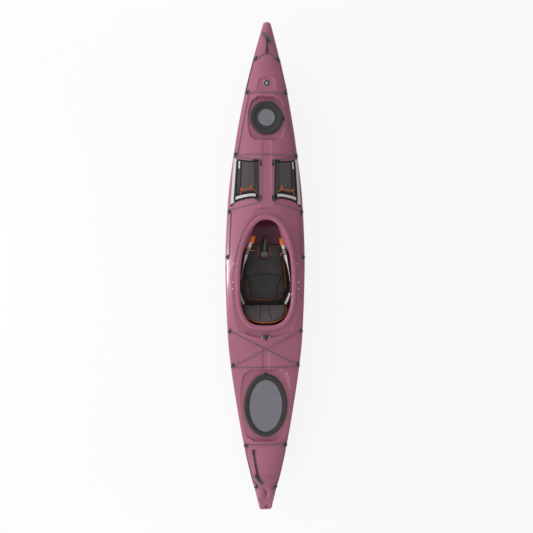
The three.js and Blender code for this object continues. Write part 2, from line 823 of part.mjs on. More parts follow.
// A point of a cord beside an eye: out is to the outboard side, lane is along the gunwale.
function atEye(name, side, out, lane = 0, radius = cordRadius) {
  return new THREE.Vector3(side * out, lane, cordRise + radius).applyMatrix4(eyeFrame(name, side));
}

// A cord laid on the deck between two points that are already at its own height.
function lay(a, b, radius = cordRadius) {
  const steps = Math.ceil(Math.max(Math.abs(b.x - a.x) / cordStep, Math.abs(b.y - a.y) / cordRunStep, 1));
  return spaced(0, 1, steps).slice(1, -1).map((t) => {
    const [x, y] = [a.x + (b.x - a.x) * t, a.y + (b.y - a.y) * t];
    return new THREE.Vector3(x, y, deckZ(x, y) + radius + cordLift);
  });
}

// Joins stretches of a cord: each stretch is a list of points, and the deck carries it between them.
function cordOver(stretches) {
  return stretches.flatMap((stretch, i) => {
    const next = stretches[i + 1];
    return next ? [...stretch, ...lay(stretch[stretch.length - 1], next[0])] : stretch;
  });
}

// A line of points with its sharp corners eased.
function eased(points, bend) {
  const bendShare = 0.45;
  const sharp = Math.cos(Math.PI / 8);
  return points.flatMap((point, i) => {
    if (i === 0 || i === points.length - 1) return [point];
    const [before, after] = [points[i - 1].clone().sub(point), points[i + 1].clone().sub(point)];
    if (before.clone().normalize().dot(after.clone().normalize()) < -sharp) return [point];
    const [back, on] = [before, after].map((leg) => leg.setLength(Math.min(bend, leg.length() * bendShare)));
    const [a, b] = [point.clone().add(back), point.clone().add(on)];
    return [a, a.clone().lerp(b, 0.5).lerp(point, 0.5), b];
  });
}

// A cord or bar of even thickness along a line of points, mitred at each of them.
function sweep(line, across) {
  const first = line[1].clone().sub(line[0]).normalize();
  const side = new THREE.Vector3(0, 0, 1).cross(first);
  if (side.lengthSq() < 0.01) side.set(1, 0, 0);
  side.normalize();
  const up = first.clone().cross(side);
  let ring = across.map(([u, v]) => line[0].clone().addScaledVector(side, u).addScaledVector(up, v));
  const rings = [ring];
  for (let i = 1; i < line.length; i += 1) {
    const into = line[i].clone().sub(line[i - 1]).normalize();
    const plane = into.clone();
    if (i < line.length - 1) plane.add(line[i + 1].clone().sub(line[i]).normalize()).normalize();
    ring = ring.map((point) => {
      const reach = line[i].clone().sub(point).dot(plane) / into.dot(plane);
      return point.clone().addScaledVector(into, reach);
    });
    rings.push(ring);
  }
  return skinSolid(rings);
}

function circle(radius, sides) {
  return spaced(0, 2 * Math.PI, sides).slice(0, -1).map((a) => [radius * Math.cos(a), radius * Math.sin(a)]);
}

const cordBody = (points, radius = cordRadius) => sweep(eased(points, cordBend), circle(radius, cordSides));
const knotBody = (point) => solid(new THREE.IcosahedronGeometry(knotRadius, 0)).translate(point.toArray());

// Ways that a cord meets a side eye. It ends outboard in a knot, passes from one side to the other,
// or turns back around one leg of the eye.
const ended = (name, side, lane) => [-1, 1].map((end) => atEye(name, side, end * cordReach, lane));
const passed = (name, side, lane, outward) => (outward
  ? [atEye(name, side, -cordReach, lane), atEye(name, side, cordReach, lane)]
  : [atEye(name, side, cordReach, lane), atEye(name, side, -cordReach, lane)]);
const turned = (name, side, lane, end) => [
  atEye(name, side, -cordReach, lane),
  atEye(name, side, cordReach, lane),
  atEye(name, side, cordReach, end * cordTurn),
  atEye(name, side, -cordReach, end * cordTurn),
];

// A point where a cord climbs over another one that ends beside it in the same eye.
const overPoint = (name, side) => {
  const rise = cordRadius + cordOverRise;
  return atEye(name, side, -cordReach - cordBend, -cordLane, rise);
};

function knotted(points, ends = [true, true]) {
  let body = cordBody(points);
  if (ends[0]) body = body.add(knotBody(points[0]));
  if (ends[1]) body = body.add(knotBody(points[points.length - 1]));
  return body;
}

// Half of a line's stretches on one side, run from the middle of the boat or from its aft end.
const reversed = (list) => [...list].reverse();

function makeBowLine() {
  const lane = -cordLane;
  const side = (s) => [
    passed('bow_tip', s, 0, true),
    [...passed('bow', s, cordLane, false), overPoint('bow', s)],
    ended('bag', s, cordLane),
  ];
  const eye = deckFrame(0, bowEyeY, false);
  const middle = [-cordReach, cordReach].map((x) => (
    new THREE.Vector3(x, lane, cordRise + cordRadius).applyMatrix4(eye)
  ));
  const port = reversed(side(-1)).map(reversed);
  return knotted(cordOver([...port, middle, ...side(1)]));
}

function makeCrossLine(name, lane) {
  const ends = [-1, 1].map((s) => ended(name, s, lane));
  return knotted(cordOver([reversed(ends[0]), ends[1]]));
}

function makeForeLine() {
  const side = (s) => {
    const { foreInner, aftInner } = bagCorners;
    const beside = (y) => {
      const x = s * bagCordX;
      return [new THREE.Vector3(x, y, deckZ(x, y) + cordRadius + cordLift)];
    };
    return [
      turned('bag', s, -cordLane, -1),
      beside(foreInner[1] + cordReach),
      beside(aftInner[1] - cordReach),
      reversed(turned('cockpit_fore', s, 0, 1)),
      ended('cockpit_mid', s, 0),
    ];
  };
  const starboard = side(1);
  const port = reversed(side(-1)).map(reversed);
  return knotted(cordOver([...port, ...starboard]));
}

function makeSideLine(side) {
  return knotted(cordOver([reversed(ended('stern', side, -cordLane)), ended('stern_tip', side, 0)]));
}

// The crossed shock cord behind the cockpit. One strand lies over the other in the middle.
function makeCrossedCord() {
  const start = reversed(ended('cockpit_aft', -1, -cordLane));
  const port = turned('aft', -1, 0, -1);
  const starboard = turned('aft', 1, 0, -1);
  const end = ended('cockpit_aft', 1, -cordLane);
  const low = lay(start[1], starboard[0]);
  const high = lay(port[0], end[0]);
  const over = 2 * cordRadius + 2 * cordClearance;
  for (const point of high) {
    const away = Math.min(Math.abs(point.x) / (3 * cordStep), 1);
    point.z += over * (1 - away) ** 0.5;
  }
  const across = lay(starboard[3], port[3]);
  return knotted([
    ...start, ...low, ...starboard, ...across, ...reversed(port), ...high, ...end,
  ]);
}

// A carry toggle: a grip with a hub, on a doubled cord that loops through a deck eye.
function makeToggle(eye, hub, turn, forward) {
  const [hubX, hubY] = hub;
  const rise = toggleRadius + cordLift;
  const centre = new THREE.Vector3(hubX, hubY, deckZ(hubX, hubY) + rise);
  const eyePoint = new THREE.Vector3().setFromMatrixPosition(eye);
  const away = centre.clone().sub(eyePoint).setZ(0).normalize().multiplyScalar(hubLength / 2);
  const gripCentre = centre.clone().add(away);
  gripCentre.z = deckZ(gripCentre.x, gripCentre.y) + rise;
  const profile = [
    [0, -toggleLength / 2], [toggleEndRadius, -toggleLength / 2], [toggleRadius, 0],
    [toggleEndRadius, toggleLength / 2], [0, toggleLength / 2],
  ].map(([r, h]) => new THREE.Vector2(r, h));
  const grip = new THREE.LatheGeometry(profile, 12);
  grip.rotateZ(Math.PI / 2).rotateZ(THREE.MathUtils.degToRad(turn)).translate(...gripCentre.toArray());
  const start = centre.clone().sub(away);
  const barrel = sweep([start, gripCentre], circle(hubRadius, 10));
  const legs = [-1, 1].map((s) => {
    const spread = new THREE.Vector3(s * (toggleCordRadius + cordLift), 0, 0);
    return start.clone().add(spread).addScaledVector(away, 0.5);
  });
  const laneY = forward * cordLane * toggleLaneShare;
  const laneZ = cordRise - toggleCordSink + toggleCordRadius;
  const through = [-cordReach, cordReach].map((x) => new THREE.Vector3(x, laneY, laneZ).applyMatrix4(eye));
  const strand = (a, b) => lay(a, b, toggleCordRadius);
  const path = [
    legs[0], ...strand(legs[0], through[0]), ...through, ...strand(through[1], legs[1]), legs[1],
  ];
  const cord = cordBody(path, toggleCordRadius);
  const longer = [...path];
  for (const [end, next] of [[0, 1], [path.length - 1, path.length - 2]]) {
    const on = path[end].clone().sub(path[next]).setLength(cordClearance);
    longer[end] = path[end].clone().add(on);
  }
  const bored = solid(grip).add(barrel).subtract(cordBody(longer, toggleCordRadius + cordClearance));
  return { cord, grip: bored.subtract(deckSurface) };
}

// A flat strap along a line, turned from station to station. Each station is a point and a turn in degrees.
function strap(stations, width = strapWidth, thickness = strapThickness) {
  const points = stations.map(([x, y, z]) => new THREE.Vector3(x, y, z));
  return skinSolid(stations.map(([, , , turn], i) => {
    const [before, after] = [points[Math.max(i - 1, 0)], points[Math.min(i + 1, points.length - 1)]];
    const run = after.clone().sub(before).normalize();
    const flat = new THREE.Vector3(1, 0, 0).addScaledVector(run, -run.x).normalize();
    flat.applyAxisAngle(run, THREE.MathUtils.degToRad(turn));
    const face = run.clone().cross(flat);
    return [[-1, -1], [1, -1], [1, 1], [-1, 1]].map(([u, v]) => points[i].clone()
      .addScaledVector(flat, (u * width) / 2).addScaledVector(face, (v * thickness) / 2));
  }));
}

// Half width, pan height and end roundness of the seat at a place along the boat.
const seatHalf = curveThrough(
  [seatRearY - panMargin * 4, seatRearY, seatRearY + seatShoulder, 0, seatFrontY, seatFrontY + panMargin],
  [
    seatRearHalf - seatRearRound, seatRearHalf - panMargin * 2, seatRearHalf,
    seatMiddleHalf, seatFrontHalf, seatFrontHalf,
  ],
);
const seatZ = (y) => seatRearZ + ((seatFrontZ - seatRearZ) * (y - seatRearY)) / (seatFrontY - seatRearY);
const panLip = (y) => panRearLip + ((panFrontLip - panRearLip) * (y - seatRearY)) / (seatFrontY - seatRearY);

// The seat pan: a tray on three ribs that stand on the hull floor, with two ears for the seat back.
function makeSeatPan() {
  const rear = backHingeY - earHalf;
  const ys = [rear, ...spaced(seatRearY, seatFrontY + panMargin, 6)];
  const half = (y) => seatHalf(y) + panMargin;
  const outer = bay(ys, half, seatZ, (y) => seatZ(y) + panLip(y), panMargin / 2);
  const wide = (y) => half(y) - panWall;
  const inner = bay(
    [rear - cutOverrun, ...ys.slice(1, -1), seatFrontY + cutOverrun], wide,
    (y) => seatZ(y) + panWall, (y) => seatZ(y) + panLip(y) + cutOverrun, panMargin / 2 + panWall,
  );
  let body = outer.subtract(inner);
  for (const x of [-ribX, 0, ribX]) {
    const ribYs = x ? ys : ys.slice(0, -2);
    const rib = bay(ribYs, () => ribHalf, () => -hullDepth / 4, (y) => seatZ(y) + panWall / 2);
    body = body.add(rib.translate([x, 0, 0]));
  }
  for (const side of [-1, 1]) {
    const foot = seatZ(backHingeY) + panWall / 2;
    const x = side * earX;
    const post = block(x, backHingeY, (foot + backHingeZ) / 2, earThickness, earHalf * 2, backHingeZ - foot);
    const eye = rod(earHalf, earThickness, 'x', x, backHingeY, backHingeZ);
    body = body.add(post).add(eye);
  }
  const bore = rod(pinRadius + pinClearance, seatRearHalf * 2, 'x', 0, backHingeY, backHingeZ, pinSides);
  return body.subtract(bore).intersect(cabin);
}

// A padded block as a height map: rows of points over a flat base, with stitched grooves.
function makeSeatCushion() {
  const arcShare = (arcSeamY - seatRearY) / (seatFrontY - seatRearY);
  const seamShare = seamHalf / (seatFrontY - seatRearY);
  const rows = [
    ...cushionRowShares, arcShare - seamShare, arcShare, arcShare + seamShare, ...cushionFrontRowShares,
  ];
  const columns = cushionColumnShares;
  const sideSeam = cushionSeamShare;
  const bottom = seatGap + panWall;
  const rings = rows.map((row) => {
    const y0 = seatRearY + (seatFrontY - seatRearY) * row;
    const ends = Math.min(row, 1 - row);
    const round = Math.min(ends / cushionEndShare, 1);
    const square = (seatHalf(y0) - cushionMargin) * (1 - cushionCornerShare * (1 - Math.sqrt(round)));
    const corner = 1 - Math.min((y0 - seatRearY) / cushionRearRound.along, 1);
    const half = square - cushionRearRound.across * (1 - Math.sqrt(1 - corner * corner));
    const [front, rear] = sideSeamShares;
    const seamAt = THREE.MathUtils.lerp(rear, front, Math.min(row / arcShare, 1));
    const bow = arcSeamBend * Math.min(row / arcShare, (1 - row) / (1 - arcShare));
    const bent = (share) => y0 - bow * share * share;
    const side = columns.map((column) => {
      const share = column < sideSeam
        ? (column / sideSeam) * seamAt
        : seamAt + ((column - sideSeam) / (1 - sideSeam)) * (1 - seamAt);
      const edge = Math.min((1 - share) * half, ends * (seatFrontY - seatRearY));
      const rolled = Math.min(edge / cushionEdgeRound, 1);
      const crownRise = cushionCrown * (1 - share ** 2) * Math.sin(Math.PI * row);
      const inArc = row === arcShare ? seamDepth : 0;
      const inSide = column === sideSeam && row < arcShare && row > 0 ? seamDepth : 0;
      const roll = cushionEdgeRound * (Math.sqrt(1 - (1 - rolled) ** 2) - 1);
      const height = bottom + cushionThickness + roll + crownRise - Math.max(inArc, inSide);
      const y = bent(share);
      return new THREE.Vector3(share * half, y, seatZ(y) + height);
    });
    const top = [...reversed(side.slice(1)).map((p) => new THREE.Vector3(-p.x, p.y, p.z)), ...side];
    const under = [[1, bent(1)], [-1, bent(1)]].map(([s, y]) => (
      new THREE.Vector3(s * half, y, seatZ(y) + bottom)
    ));
    return [...top, ...under];
  });
  const notchY = seatFrontY - notchDepth;
  const notch = bay(
    [notchY, notchY + notchCorner, seatFrontY + cutOverrun],
    (y) => (y > notchY ? notchHalf : notchHalf - notchCorner), () => 0, skyZ,
  );
  return skinSolid(rings).subtract(notch);
}

// Half width of the seat back at a height above its hinge.
const backHalfAt = curveThrough(
  [backFootHeight, ...column(backOutlineShares, 0).map((share) => share * backHeight)],
  [backFootHalf, ...column(backOutlineShares, 1).map((share) => share * backHalf)],
);
const backMatrix = () => new THREE.Matrix4()
  .makeTranslation(0, backHingeY, backHingeZ)
  .multiply(new THREE.Matrix4().makeRotationX(THREE.MathUtils.degToRad(backLeanDegrees)));

// The seat back's plate, built upright on its hinge and then leaned back.
function makeBackFrame() {
  const heights = spaced(backFootHeight, backHeight, 8);
  const plate = skinSolid(heights.map((z) => {
    const half = backHalfAt(z) - seatGap;
    return [[-half, -backFrameThickness], [half, -backFrameThickness], [half, 0], [-half, 0]]
      .map(([x, y]) => new THREE.Vector3(x, y, z));
  }));
  const lugX = earX - earThickness - seatGap * 2;
  const thick = backFrameThickness;
  const tab = block(0, -thick / 2, backHeight, backTabHalf * 2, thick, backTabRise * 2);
  let body = plate.add(tab);
  for (const side of [-1, 1]) {
    const depth = backFrameThickness * 2;
    const lug = block(side * lugX, 0, backFootHeight, earThickness, depth, backFootHeight * 2);
    const boss = rod(earHalf - eyeFoot, earThickness, 'x', side * lugX, 0, 0);
    const pin = rod(pinRadius, earThickness * 3, 'x', side * (lugX + earThickness), 0, 0, pinSides);
    body = body.add(lug.trimByPlane([0, -1, 0], -seatGap)).add(boss).add(pin);
  }
  return placed(body, backMatrix());
}

// The padded front of the seat back, with two stitched grooves.
function makeBackCushion() {
  const columns = backColumnShares;
  const seam = backSeamShare;
  const rings = backRowShares.map((share) => {
    const z = backFootHeight + cushionEdgeRound + (backHeight - backFootHeight - cushionEdgeRound) * share;
    const half = backHalfAt(z) - seatGap;
    const ends = Math.min(share, 1 - share) * backHeight;
    const splayed = backSeamFootX + (backSeamTopX - backSeamFootX) * share * share;
    const seamX = Math.min(splayed, half * backSeamMostShare);
    const front = columns.map((column) => {
      const x = column < seam
        ? (column / seam) * seamX
        : seamX + ((column - seam) / (1 - seam)) * (half - seamX);
      const rolled = Math.min(Math.min(half - x, ends) / cushionEdgeRound, 1);
      const groove = column === seam && share > 0 && share < 1 ? seamDepth : 0;
      const deep = backCushionThickness - cushionEdgeRound
        + cushionEdgeRound * Math.sqrt(1 - (1 - rolled) ** 2) - groove;
      return new THREE.Vector3(x, seatGap + deep, z);
    });
    const all = [...reversed(front.slice(1)).map((p) => new THREE.Vector3(-p.x, p.y, p.z)), ...front];
    return [...all, new THREE.Vector3(half, seatGap, z), new THREE.Vector3(-half, seatGap, z)];
  });
  const clear = [-1, 1].map((side) => block(
    side * earX, 0, 0, earThickness * 4, earHalf * 3, earHalf * 2 + backFootHeight,
  ));
  return placed(clear.reduce((body, cut) => body.subtract(cut), skinSolid(rings)), backMatrix());
}

// A strap from under the coaming beside each thigh to the edge of the seat back.
function sideStrapStations(side) {
  const stations = strapStationShares.map(([across, run, down, turn]) => [
    side * THREE.MathUtils.lerp(strapFrontX, strapWideX, across),
    THREE.MathUtils.lerp(strapFrontY, strapRearY, run),
    THREE.MathUtils.lerp(strapFrontZ, strapRearZ, down),
    side * turn * 90,
  ]);
  return [...stations, [side * strapRearX, strapRearY, strapRearZ, side * strapEndShare * 90]];
}

// A ladder-lock buckle around a strap, made in the strap's own frame.
function buckleOn(stations, i) {
  const [a, b] = [stations[i], stations[i + 1]].map(([x, y, z]) => new THREE.Vector3(x, y, z));
  const run = b.clone().sub(a).normalize();
  const flat = new THREE.Vector3(1, 0, 0).addScaledVector(run, -run.x).normalize();
  const turn = (stations[i][3] + stations[i + 1][3]) / 2;
  flat.applyAxisAngle(run, THREE.MathUtils.degToRad(turn));
  const matrix = new THREE.Matrix4().makeBasis(flat, run, flat.clone().cross(run));
  matrix.setPosition(a.clone().lerp(b, 0.5));
  let body = block(0, 0, 0, buckleWidth, buckleLength, buckleThickness);
  const windowLength = buckleLength * buckleWindowShare;
  const window = block(0, 0, buckleThickness / 2, strapWidth, windowLength, buckleThickness);
  body = body.subtract(window);
  const grown = strap(stations, strapWidth + slotClearance * 2, strapThickness + slotClearance * 2);
  return placed(body, matrix).subtract(grown);
}

// A foot brace rail, on two pads that reach the side of the hull.
function railMatrix(side) {
  const lean = Math.atan2(railAftX - railForeX, railLength);
  const x = (side * (railAftX + railForeX)) / 2;
  return new THREE.Matrix4().makeTranslation(x, railMiddleY, railZ)
    .multiply(new THREE.Matrix4().makeRotationZ(side * lean));
}

function makeRail(side) {
  const grooveLength = railLength - railPadLength * 2;
  const groove = block(side * -railThickness / 2, 0, 0, railThickness / 2, grooveLength, railHeight / 3);
  let body = block(0, 0, 0, railThickness, railLength, railHeight).subtract(groove);
  for (const end of [-1, 1]) {
    const y = (end * (railLength - railPadLength)) / 2;
    body = body.add(block((side * railPadReach) / 2, y, 0, railPadReach, railPadLength, railHeight));
  }
  return placed(body, railMatrix(side)).intersect(cabin);
}

function makePedal(side) {
  const [w, h] = [railThickness / 2 + shoeClearance, railHeight / 2 + shoeClearance];
  const shoe = block(0, 0, 0, (w + shoeWall) * 2, shoeLength, (h + shoeWall) * 2)
    .subtract(block(0, 0, 0, w * 2, shoeLength * 2, h * 2));
  const inner = -side * (w + shoeWall);
  const plate = block(inner - (side * pedalWidth) / 2, 0, 0, pedalWidth, pedalThickness, pedalHeight);
  let body = shoe.add(plate);
  const middle = inner - (side * pedalWidth) / 2;
  for (const step of spaced(-pedalRibShare, pedalRibShare, pedalRibSteps)) {
    const z = step * pedalHeight;
    const rib = block(middle, -pedalThickness / 2, z, pedalWidth, pedalThickness, shoeWall);
    body = body.add(rib);
  }
  return placed(body, railMatrix(side));
}

// A mesh deck bag between four corners, plump in the middle, on the deck.
function makeDeckBag(side) {
  const { foreOuter, foreInner, aftInner, aftOuter } = bagCorners;
  const at = (u, v) => {
    const mix = (a, b, t) => a + (b - a) * t;
    return [
      side * mix(mix(aftInner[0], aftOuter[0], u), mix(foreInner[0], foreOuter[0], u), v),
      mix(mix(aftInner[1], aftOuter[1], u), mix(foreInner[1], foreOuter[1], u), v),
    ];
  };
  const shares = spaced(0, 1, bagSteps);
  return skinSolid(shares.map((v) => {
    const top = shares.map((u) => {
      const [x, y] = at(u, v);
      const loft = Math.sin(Math.PI * (bagEndShare + u * (1 - bagEndShare * 2))) * Math.sin(Math.PI * v);
      return new THREE.Vector3(x, y, deckZ(x, y) + bagEdge + bagLoft * Math.sqrt(Math.max(loft, 0)));
    });
    const under = reversed(shares).map((u) => {
      const [x, y] = at(u, v);
      return new THREE.Vector3(x, y, deckZ(x, y) - eyeSink);
    });
    return [...top, ...under];
  })).subtract(deckSurface);
}

function makeHatch({ hatch, recess, tabAt }) {
  const lip = hatchLipInset;
  const rim = oval(hatch, [
    [hatchOpeningInset + seatGap, -hatchNeckDrop],
    [hatchOpeningInset + seatGap, seatGap],
    [hatchFlangeInset, seatGap],
    [hatchFlangeInset, seatGap + hatchFlangeThickness],
    [lip, seatGap + hatchFlangeThickness],
    [lip, hatchLipHeight],
    [hatchOpeningInset + seatGap + hatchNeckWall, hatchLipHeight],
    [hatchOpeningInset + seatGap + hatchNeckWall, -hatchNeckDrop],
  ], recess.floor, false);
  const beadBase = hatchFlangeThickness + seatGap * 2;
  const pocket = hatchPlateTop - hatchPanelPocket;
  let cover = oval(hatch, [
    [lip - seatGap, hatchLipHeight + seatGap],
    [lip - seatGap, beadBase],
    [hatchBeadRound, beadBase],
    [0, beadBase + hatchBeadRound],
    [0, hatchBeadTop - hatchBeadRound * 2],
    [hatchBeadRound / 2, hatchBeadTop - hatchBeadRound / 2],
    [hatchBeadRound * 2, hatchBeadTop],
    [hatchBeadWidth - hatchBeadRound, hatchBeadTop - hatchBeadRound / 3],
    [hatchBeadWidth, hatchPlateTop],
    [hatch.panelInset - seatGap, hatchPlateTop],
    [hatch.panelInset - seatGap, pocket],
  ], recess.floor, true);
  const reach = hatchTabReach + hatchBeadRound;
  const z = recess.floor + hatchTabHeight;
  const middle = reach / 2 - hatchBeadRound;
  const tab = tabAt === 'side'
    ? block(hatch.halfWidth + middle, hatch.y, z, reach, hatchTabWidth, hatchTabThickness)
    : block(0, hatch.y + hatch.halfLength + middle, z, hatchTabWidth, reach, hatchTabThickness);
  cover = cover.add(tab);
  const panel = oval(hatch, [
    [hatch.panelInset, pocket + seatGap],
    [hatch.panelInset, pocket + hatchPanelThickness - eyeChamfer],
    [hatch.panelInset + eyeChamfer, pocket + hatchPanelThickness],
  ], recess.floor, true);
  return { rim, cover, panel };
}

const part = new THREE.Group();

function add(name, body, color, roughness = 0.6) {
  const material = new THREE.MeshStandardMaterial({ color, roughness, metalness: 0 });
  const mesh = new THREE.Mesh(geometryOf(body), material);
  mesh.name = name;
  part.add(mesh);
}

const colors = {
  hull: 0xa5667d, black: 0x242324, rubber: 0x3c3a3c, panel: 0x7d7a82, cord: 0x6e6464, foam: 0x4a4848,
  seat: 0x373536, seatBack: 0x524e4e, strap: 0xcdc3c3, mesh: 0x5f5858, grip: 0x6b6b6e, pan: 0x2e2d2e,
};

add('hull', makeHull(), colors.hull, 0.3);
add('deck', makeDeck(), colors.hull, 0.3);
add('coaming', makeCoaming(), colors.hull, 0.3);
for (const [name, y] of [['bow', bowBulkheadY], ['stern', sternBulkheadY]]) {
  const plate = block(0, y, 0, hullBeam, bulkheadThickness, hullDepth * 2);
  add(`${name}_bulkhead`, cabin.intersect(plate), colors.foam);
}

for (const [name, hatch, recess, tabAt] of [
  ['bow', bowHatch, bowRecess, 'side'], ['stern', sternHatch, sternRecess, 'fore'],
]) {
  const { rim, cover, panel } = makeHatch({ hatch, recess, tabAt });
  add(`${name}_hatch_rim`, rim, colors.black);
  add(`${name}_hatch_cover`, cover, colors.rubber);
  add(`${name}_hatch_panel`, panel, colors.panel);
}

add('seat_pan', makeSeatPan(), colors.pan);
add('seat_cushion', makeSeatCushion(), colors.seat, 0.8);
add('seat_back_frame', makeBackFrame(), colors.pan);
add('seat_back_cushion', makeBackCushion(), colors.seatBack, 0.8);

const lifterStations = lifterShares.map(([out, up]) => [
  0, lifterRearY + lifterReach * out, lifterZ + lifterRise * up, 0,
]);
add('leg_lift_strap', strap(lifterStations), colors.black);
add('leg_lift_buckle', buckleOn(lifterStations, 1), colors.panel);

for (const [label, side] of [['left', -1], ['right', 1]]) {
  const stations = sideStrapStations(side);
  add(`side_strap_${label}`, strap(stations), colors.strap, 0.8);
  add(`strap_buckle_${label}`, buckleOn(stations, 2), colors.black, 0.4);
  add(`foot_rail_${label}`, makeRail(side), colors.black);
  add(`foot_pedal_${label}`, makePedal(side), colors.black);
  add(`deck_bag_${label}`, makeDeckBag(side), colors.mesh, 0.9);
  add(`aft_side_line_${label}`, makeSideLine(side), colors.cord, 0.7);
  for (const name of Object.keys(eyePlaceShares)) {
    add(`pad_eye_${name}_${label}`, padEye(eyeFrame(name, side), sideEye), colors.black, 0.4);
  }
}

add('bow_line', makeBowLine(), colors.cord, 0.7);
add('bow_cross_line', makeCrossLine('bow', -cordLane), colors.cord, 0.7);
add('fore_deck_line', makeForeLine(), colors.cord, 0.7);
add('crossed_shock_cord', makeCrossedCord(), colors.cord, 0.7);
add('stern_cross_line', makeCrossLine('stern', cordLane), colors.cord, 0.7);

const bowEye = deckFrame(0, bowEyeY, false);
const sternEyeFrame = deckFrame(sternEyeX, sternEyeY, false);
add('bow_toggle_eye', padEye(bowEye, bowToggleEye), colors.black, 0.4);
add('stern_toggle_eye', padEye(sternEyeFrame, sternToggleEye), colors.black, 0.4);
const bowHub = [0, bowEyeY + bowCordReach];
const sternHub = [sternHubX, sternHubY];
const bowToggle = makeToggle(bowEye, bowHub, bowGripTurnDegrees, 1);
const sternToggle = makeToggle(sternEyeFrame, sternHub, sternGripTurnDegrees, -1);
add('bow_toggle', bowToggle.grip, colors.grip, 0.5);
add('bow_toggle_cord', bowToggle.cord, colors.black, 0.8);
add('stern_toggle', sternToggle.grip, colors.grip, 0.5);
add('stern_toggle_cord', sternToggle.cord, colors.black, 0.8);

const hookTurn = new THREE.Matrix4().makeRotationZ(Math.PI / 2);
add('rear_deck_hook', padEye(deckFrame(0, hookY, false).multiply(hookTurn), deckHook), colors.black, 0.4);

const plugZ = rudderFlat.floor + seatGap;
const plugHeadBody = rod(plugRadius, plugHead, 'z', 0, plugY, plugZ + plugHead / 2, 16);
const plugStemBody = rod(plugStem, plugDepth, 'z', 0, plugY, plugZ - plugDepth / 2 + seatGap, 12);
add('drain_plug', plugHeadBody.add(plugStemBody), colors.black, 0.5);

export default part;
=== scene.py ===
# %% [markdown]
# # A touring kayak, seen from above
# The boat comes from the CAD step as sixty named solids that already fit together and move on their joints.
# Blender's share is everything that the eye asks for: a smooth moulded skin, cord that looks braided,
# webbing, mesh, stitching, rubber and light. Each cell below makes one piece or one finish, in the order
# in which a reader would meet it, and most cells print what they made.

# %% Load the frame
import math

import bmesh
import bpy
import numpy as np
from mathutils import Matrix, Vector


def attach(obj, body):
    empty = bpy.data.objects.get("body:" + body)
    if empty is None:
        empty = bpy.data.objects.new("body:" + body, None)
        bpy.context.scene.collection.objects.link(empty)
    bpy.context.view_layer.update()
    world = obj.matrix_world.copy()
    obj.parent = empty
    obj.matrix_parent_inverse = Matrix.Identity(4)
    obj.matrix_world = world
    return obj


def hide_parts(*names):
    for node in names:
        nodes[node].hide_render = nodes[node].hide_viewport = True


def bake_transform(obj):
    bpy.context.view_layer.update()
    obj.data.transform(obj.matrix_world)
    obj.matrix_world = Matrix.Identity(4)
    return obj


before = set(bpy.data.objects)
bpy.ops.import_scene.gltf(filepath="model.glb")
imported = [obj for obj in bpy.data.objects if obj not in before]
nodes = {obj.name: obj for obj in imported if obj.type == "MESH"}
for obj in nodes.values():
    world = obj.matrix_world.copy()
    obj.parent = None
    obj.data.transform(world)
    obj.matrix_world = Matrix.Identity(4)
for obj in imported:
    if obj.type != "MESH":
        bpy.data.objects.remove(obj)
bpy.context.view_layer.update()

MM = 0.001
SIDES = (("left", -1), ("right", 1))


def added(name, data):
    """A new object in the scene."""
    made = bpy.data.objects.new(name, data)
    bpy.context.scene.collection.objects.link(made)
    return made


# %% [markdown]
# ## The camera
# The photograph was taken from straight above with an ordinary lens, a little to port of the keel.
# A camera could be placed by eye, but the deck's own sizes settle it: the distance follows from how much
# smaller the floor looks than the coaming, and the lens from the length of the boat in the frame.

# %% Camera
PHOTO_SIZE = 533            # pixels along each side of the photograph
FOCAL_PIXELS = 534.6        # focal length measured in those pixels
EYE = Vector((-0.37, 0.021, 4.5))
TARGET = Vector((0.0015, 0.021, 0.33))

lens_data = bpy.data.cameras.new("photographer")
lens_data.sensor_width = 36.0
lens_data.lens = FOCAL_PIXELS / PHOTO_SIZE * lens_data.sensor_width
camera = added("photographer", lens_data)
back = (EYE - TARGET).normalized()
right = Vector((0, 1, 0)).cross(back).normalized()
up = back.cross(right)
camera.matrix_world = Matrix(((*right, 0), (*up, 0), (*back, 0), (*EYE, 1))).transposed()
lens_data.clip_start, lens_data.clip_end = 0.1, 100.0
bpy.context.scene.camera = camera
bpy.context.scene.view_settings.view_transform = "Standard"
print("lens", round(lens_data.lens, 1), "mm, eye", tuple(round(v, 3) for v in EYE))

# %% [markdown]
# ## Writing shaders as sums
# A material is a web of small nodes, and wiring it by hand soon hides the idea behind it. The class below
# wraps one output socket, so that `1 - mask` or `grain * 0.3 + streaks` adds the Math nodes by itself.
# A second class holds one material and has a single method for every other kind of node.

# %% Shader maths
def maths(operation, swapped=False):
    """A method that adds one Math node to the material."""
    def method(self, *others):
        values = (*others, self) if swapped else (self, *others)
        return self.finish.node("ShaderNodeMath", {"operation": operation}, dict(enumerate(values)))
    return method


class Wire:
    """One value running through a material, which can be calculated with."""

    __add__ = __radd__ = maths("ADD")
    __sub__, __rsub__ = maths("SUBTRACT"), maths("SUBTRACT", swapped=True)
    __mul__ = __rmul__ = maths("MULTIPLY")
    most, above = maths("MAXIMUM"), maths("GREATER_THAN")
    size, wave = maths("ABSOLUTE"), maths("SINE")

    def __init__(self, finish, socket):
        self.finish, self.socket = finish, socket

    def ripple(self, pitch):
        """A wave that comes round again after each pitch."""
        return (self * (2 * math.pi / pitch)).wave()

    def between(self, low, high):
        """0 below low, 1 above high and even between them."""
        return self.finish.node("ShaderNodeMapRange", {"clamp": True},
                                {"Value": self, "From Min": low, "From Max": high})


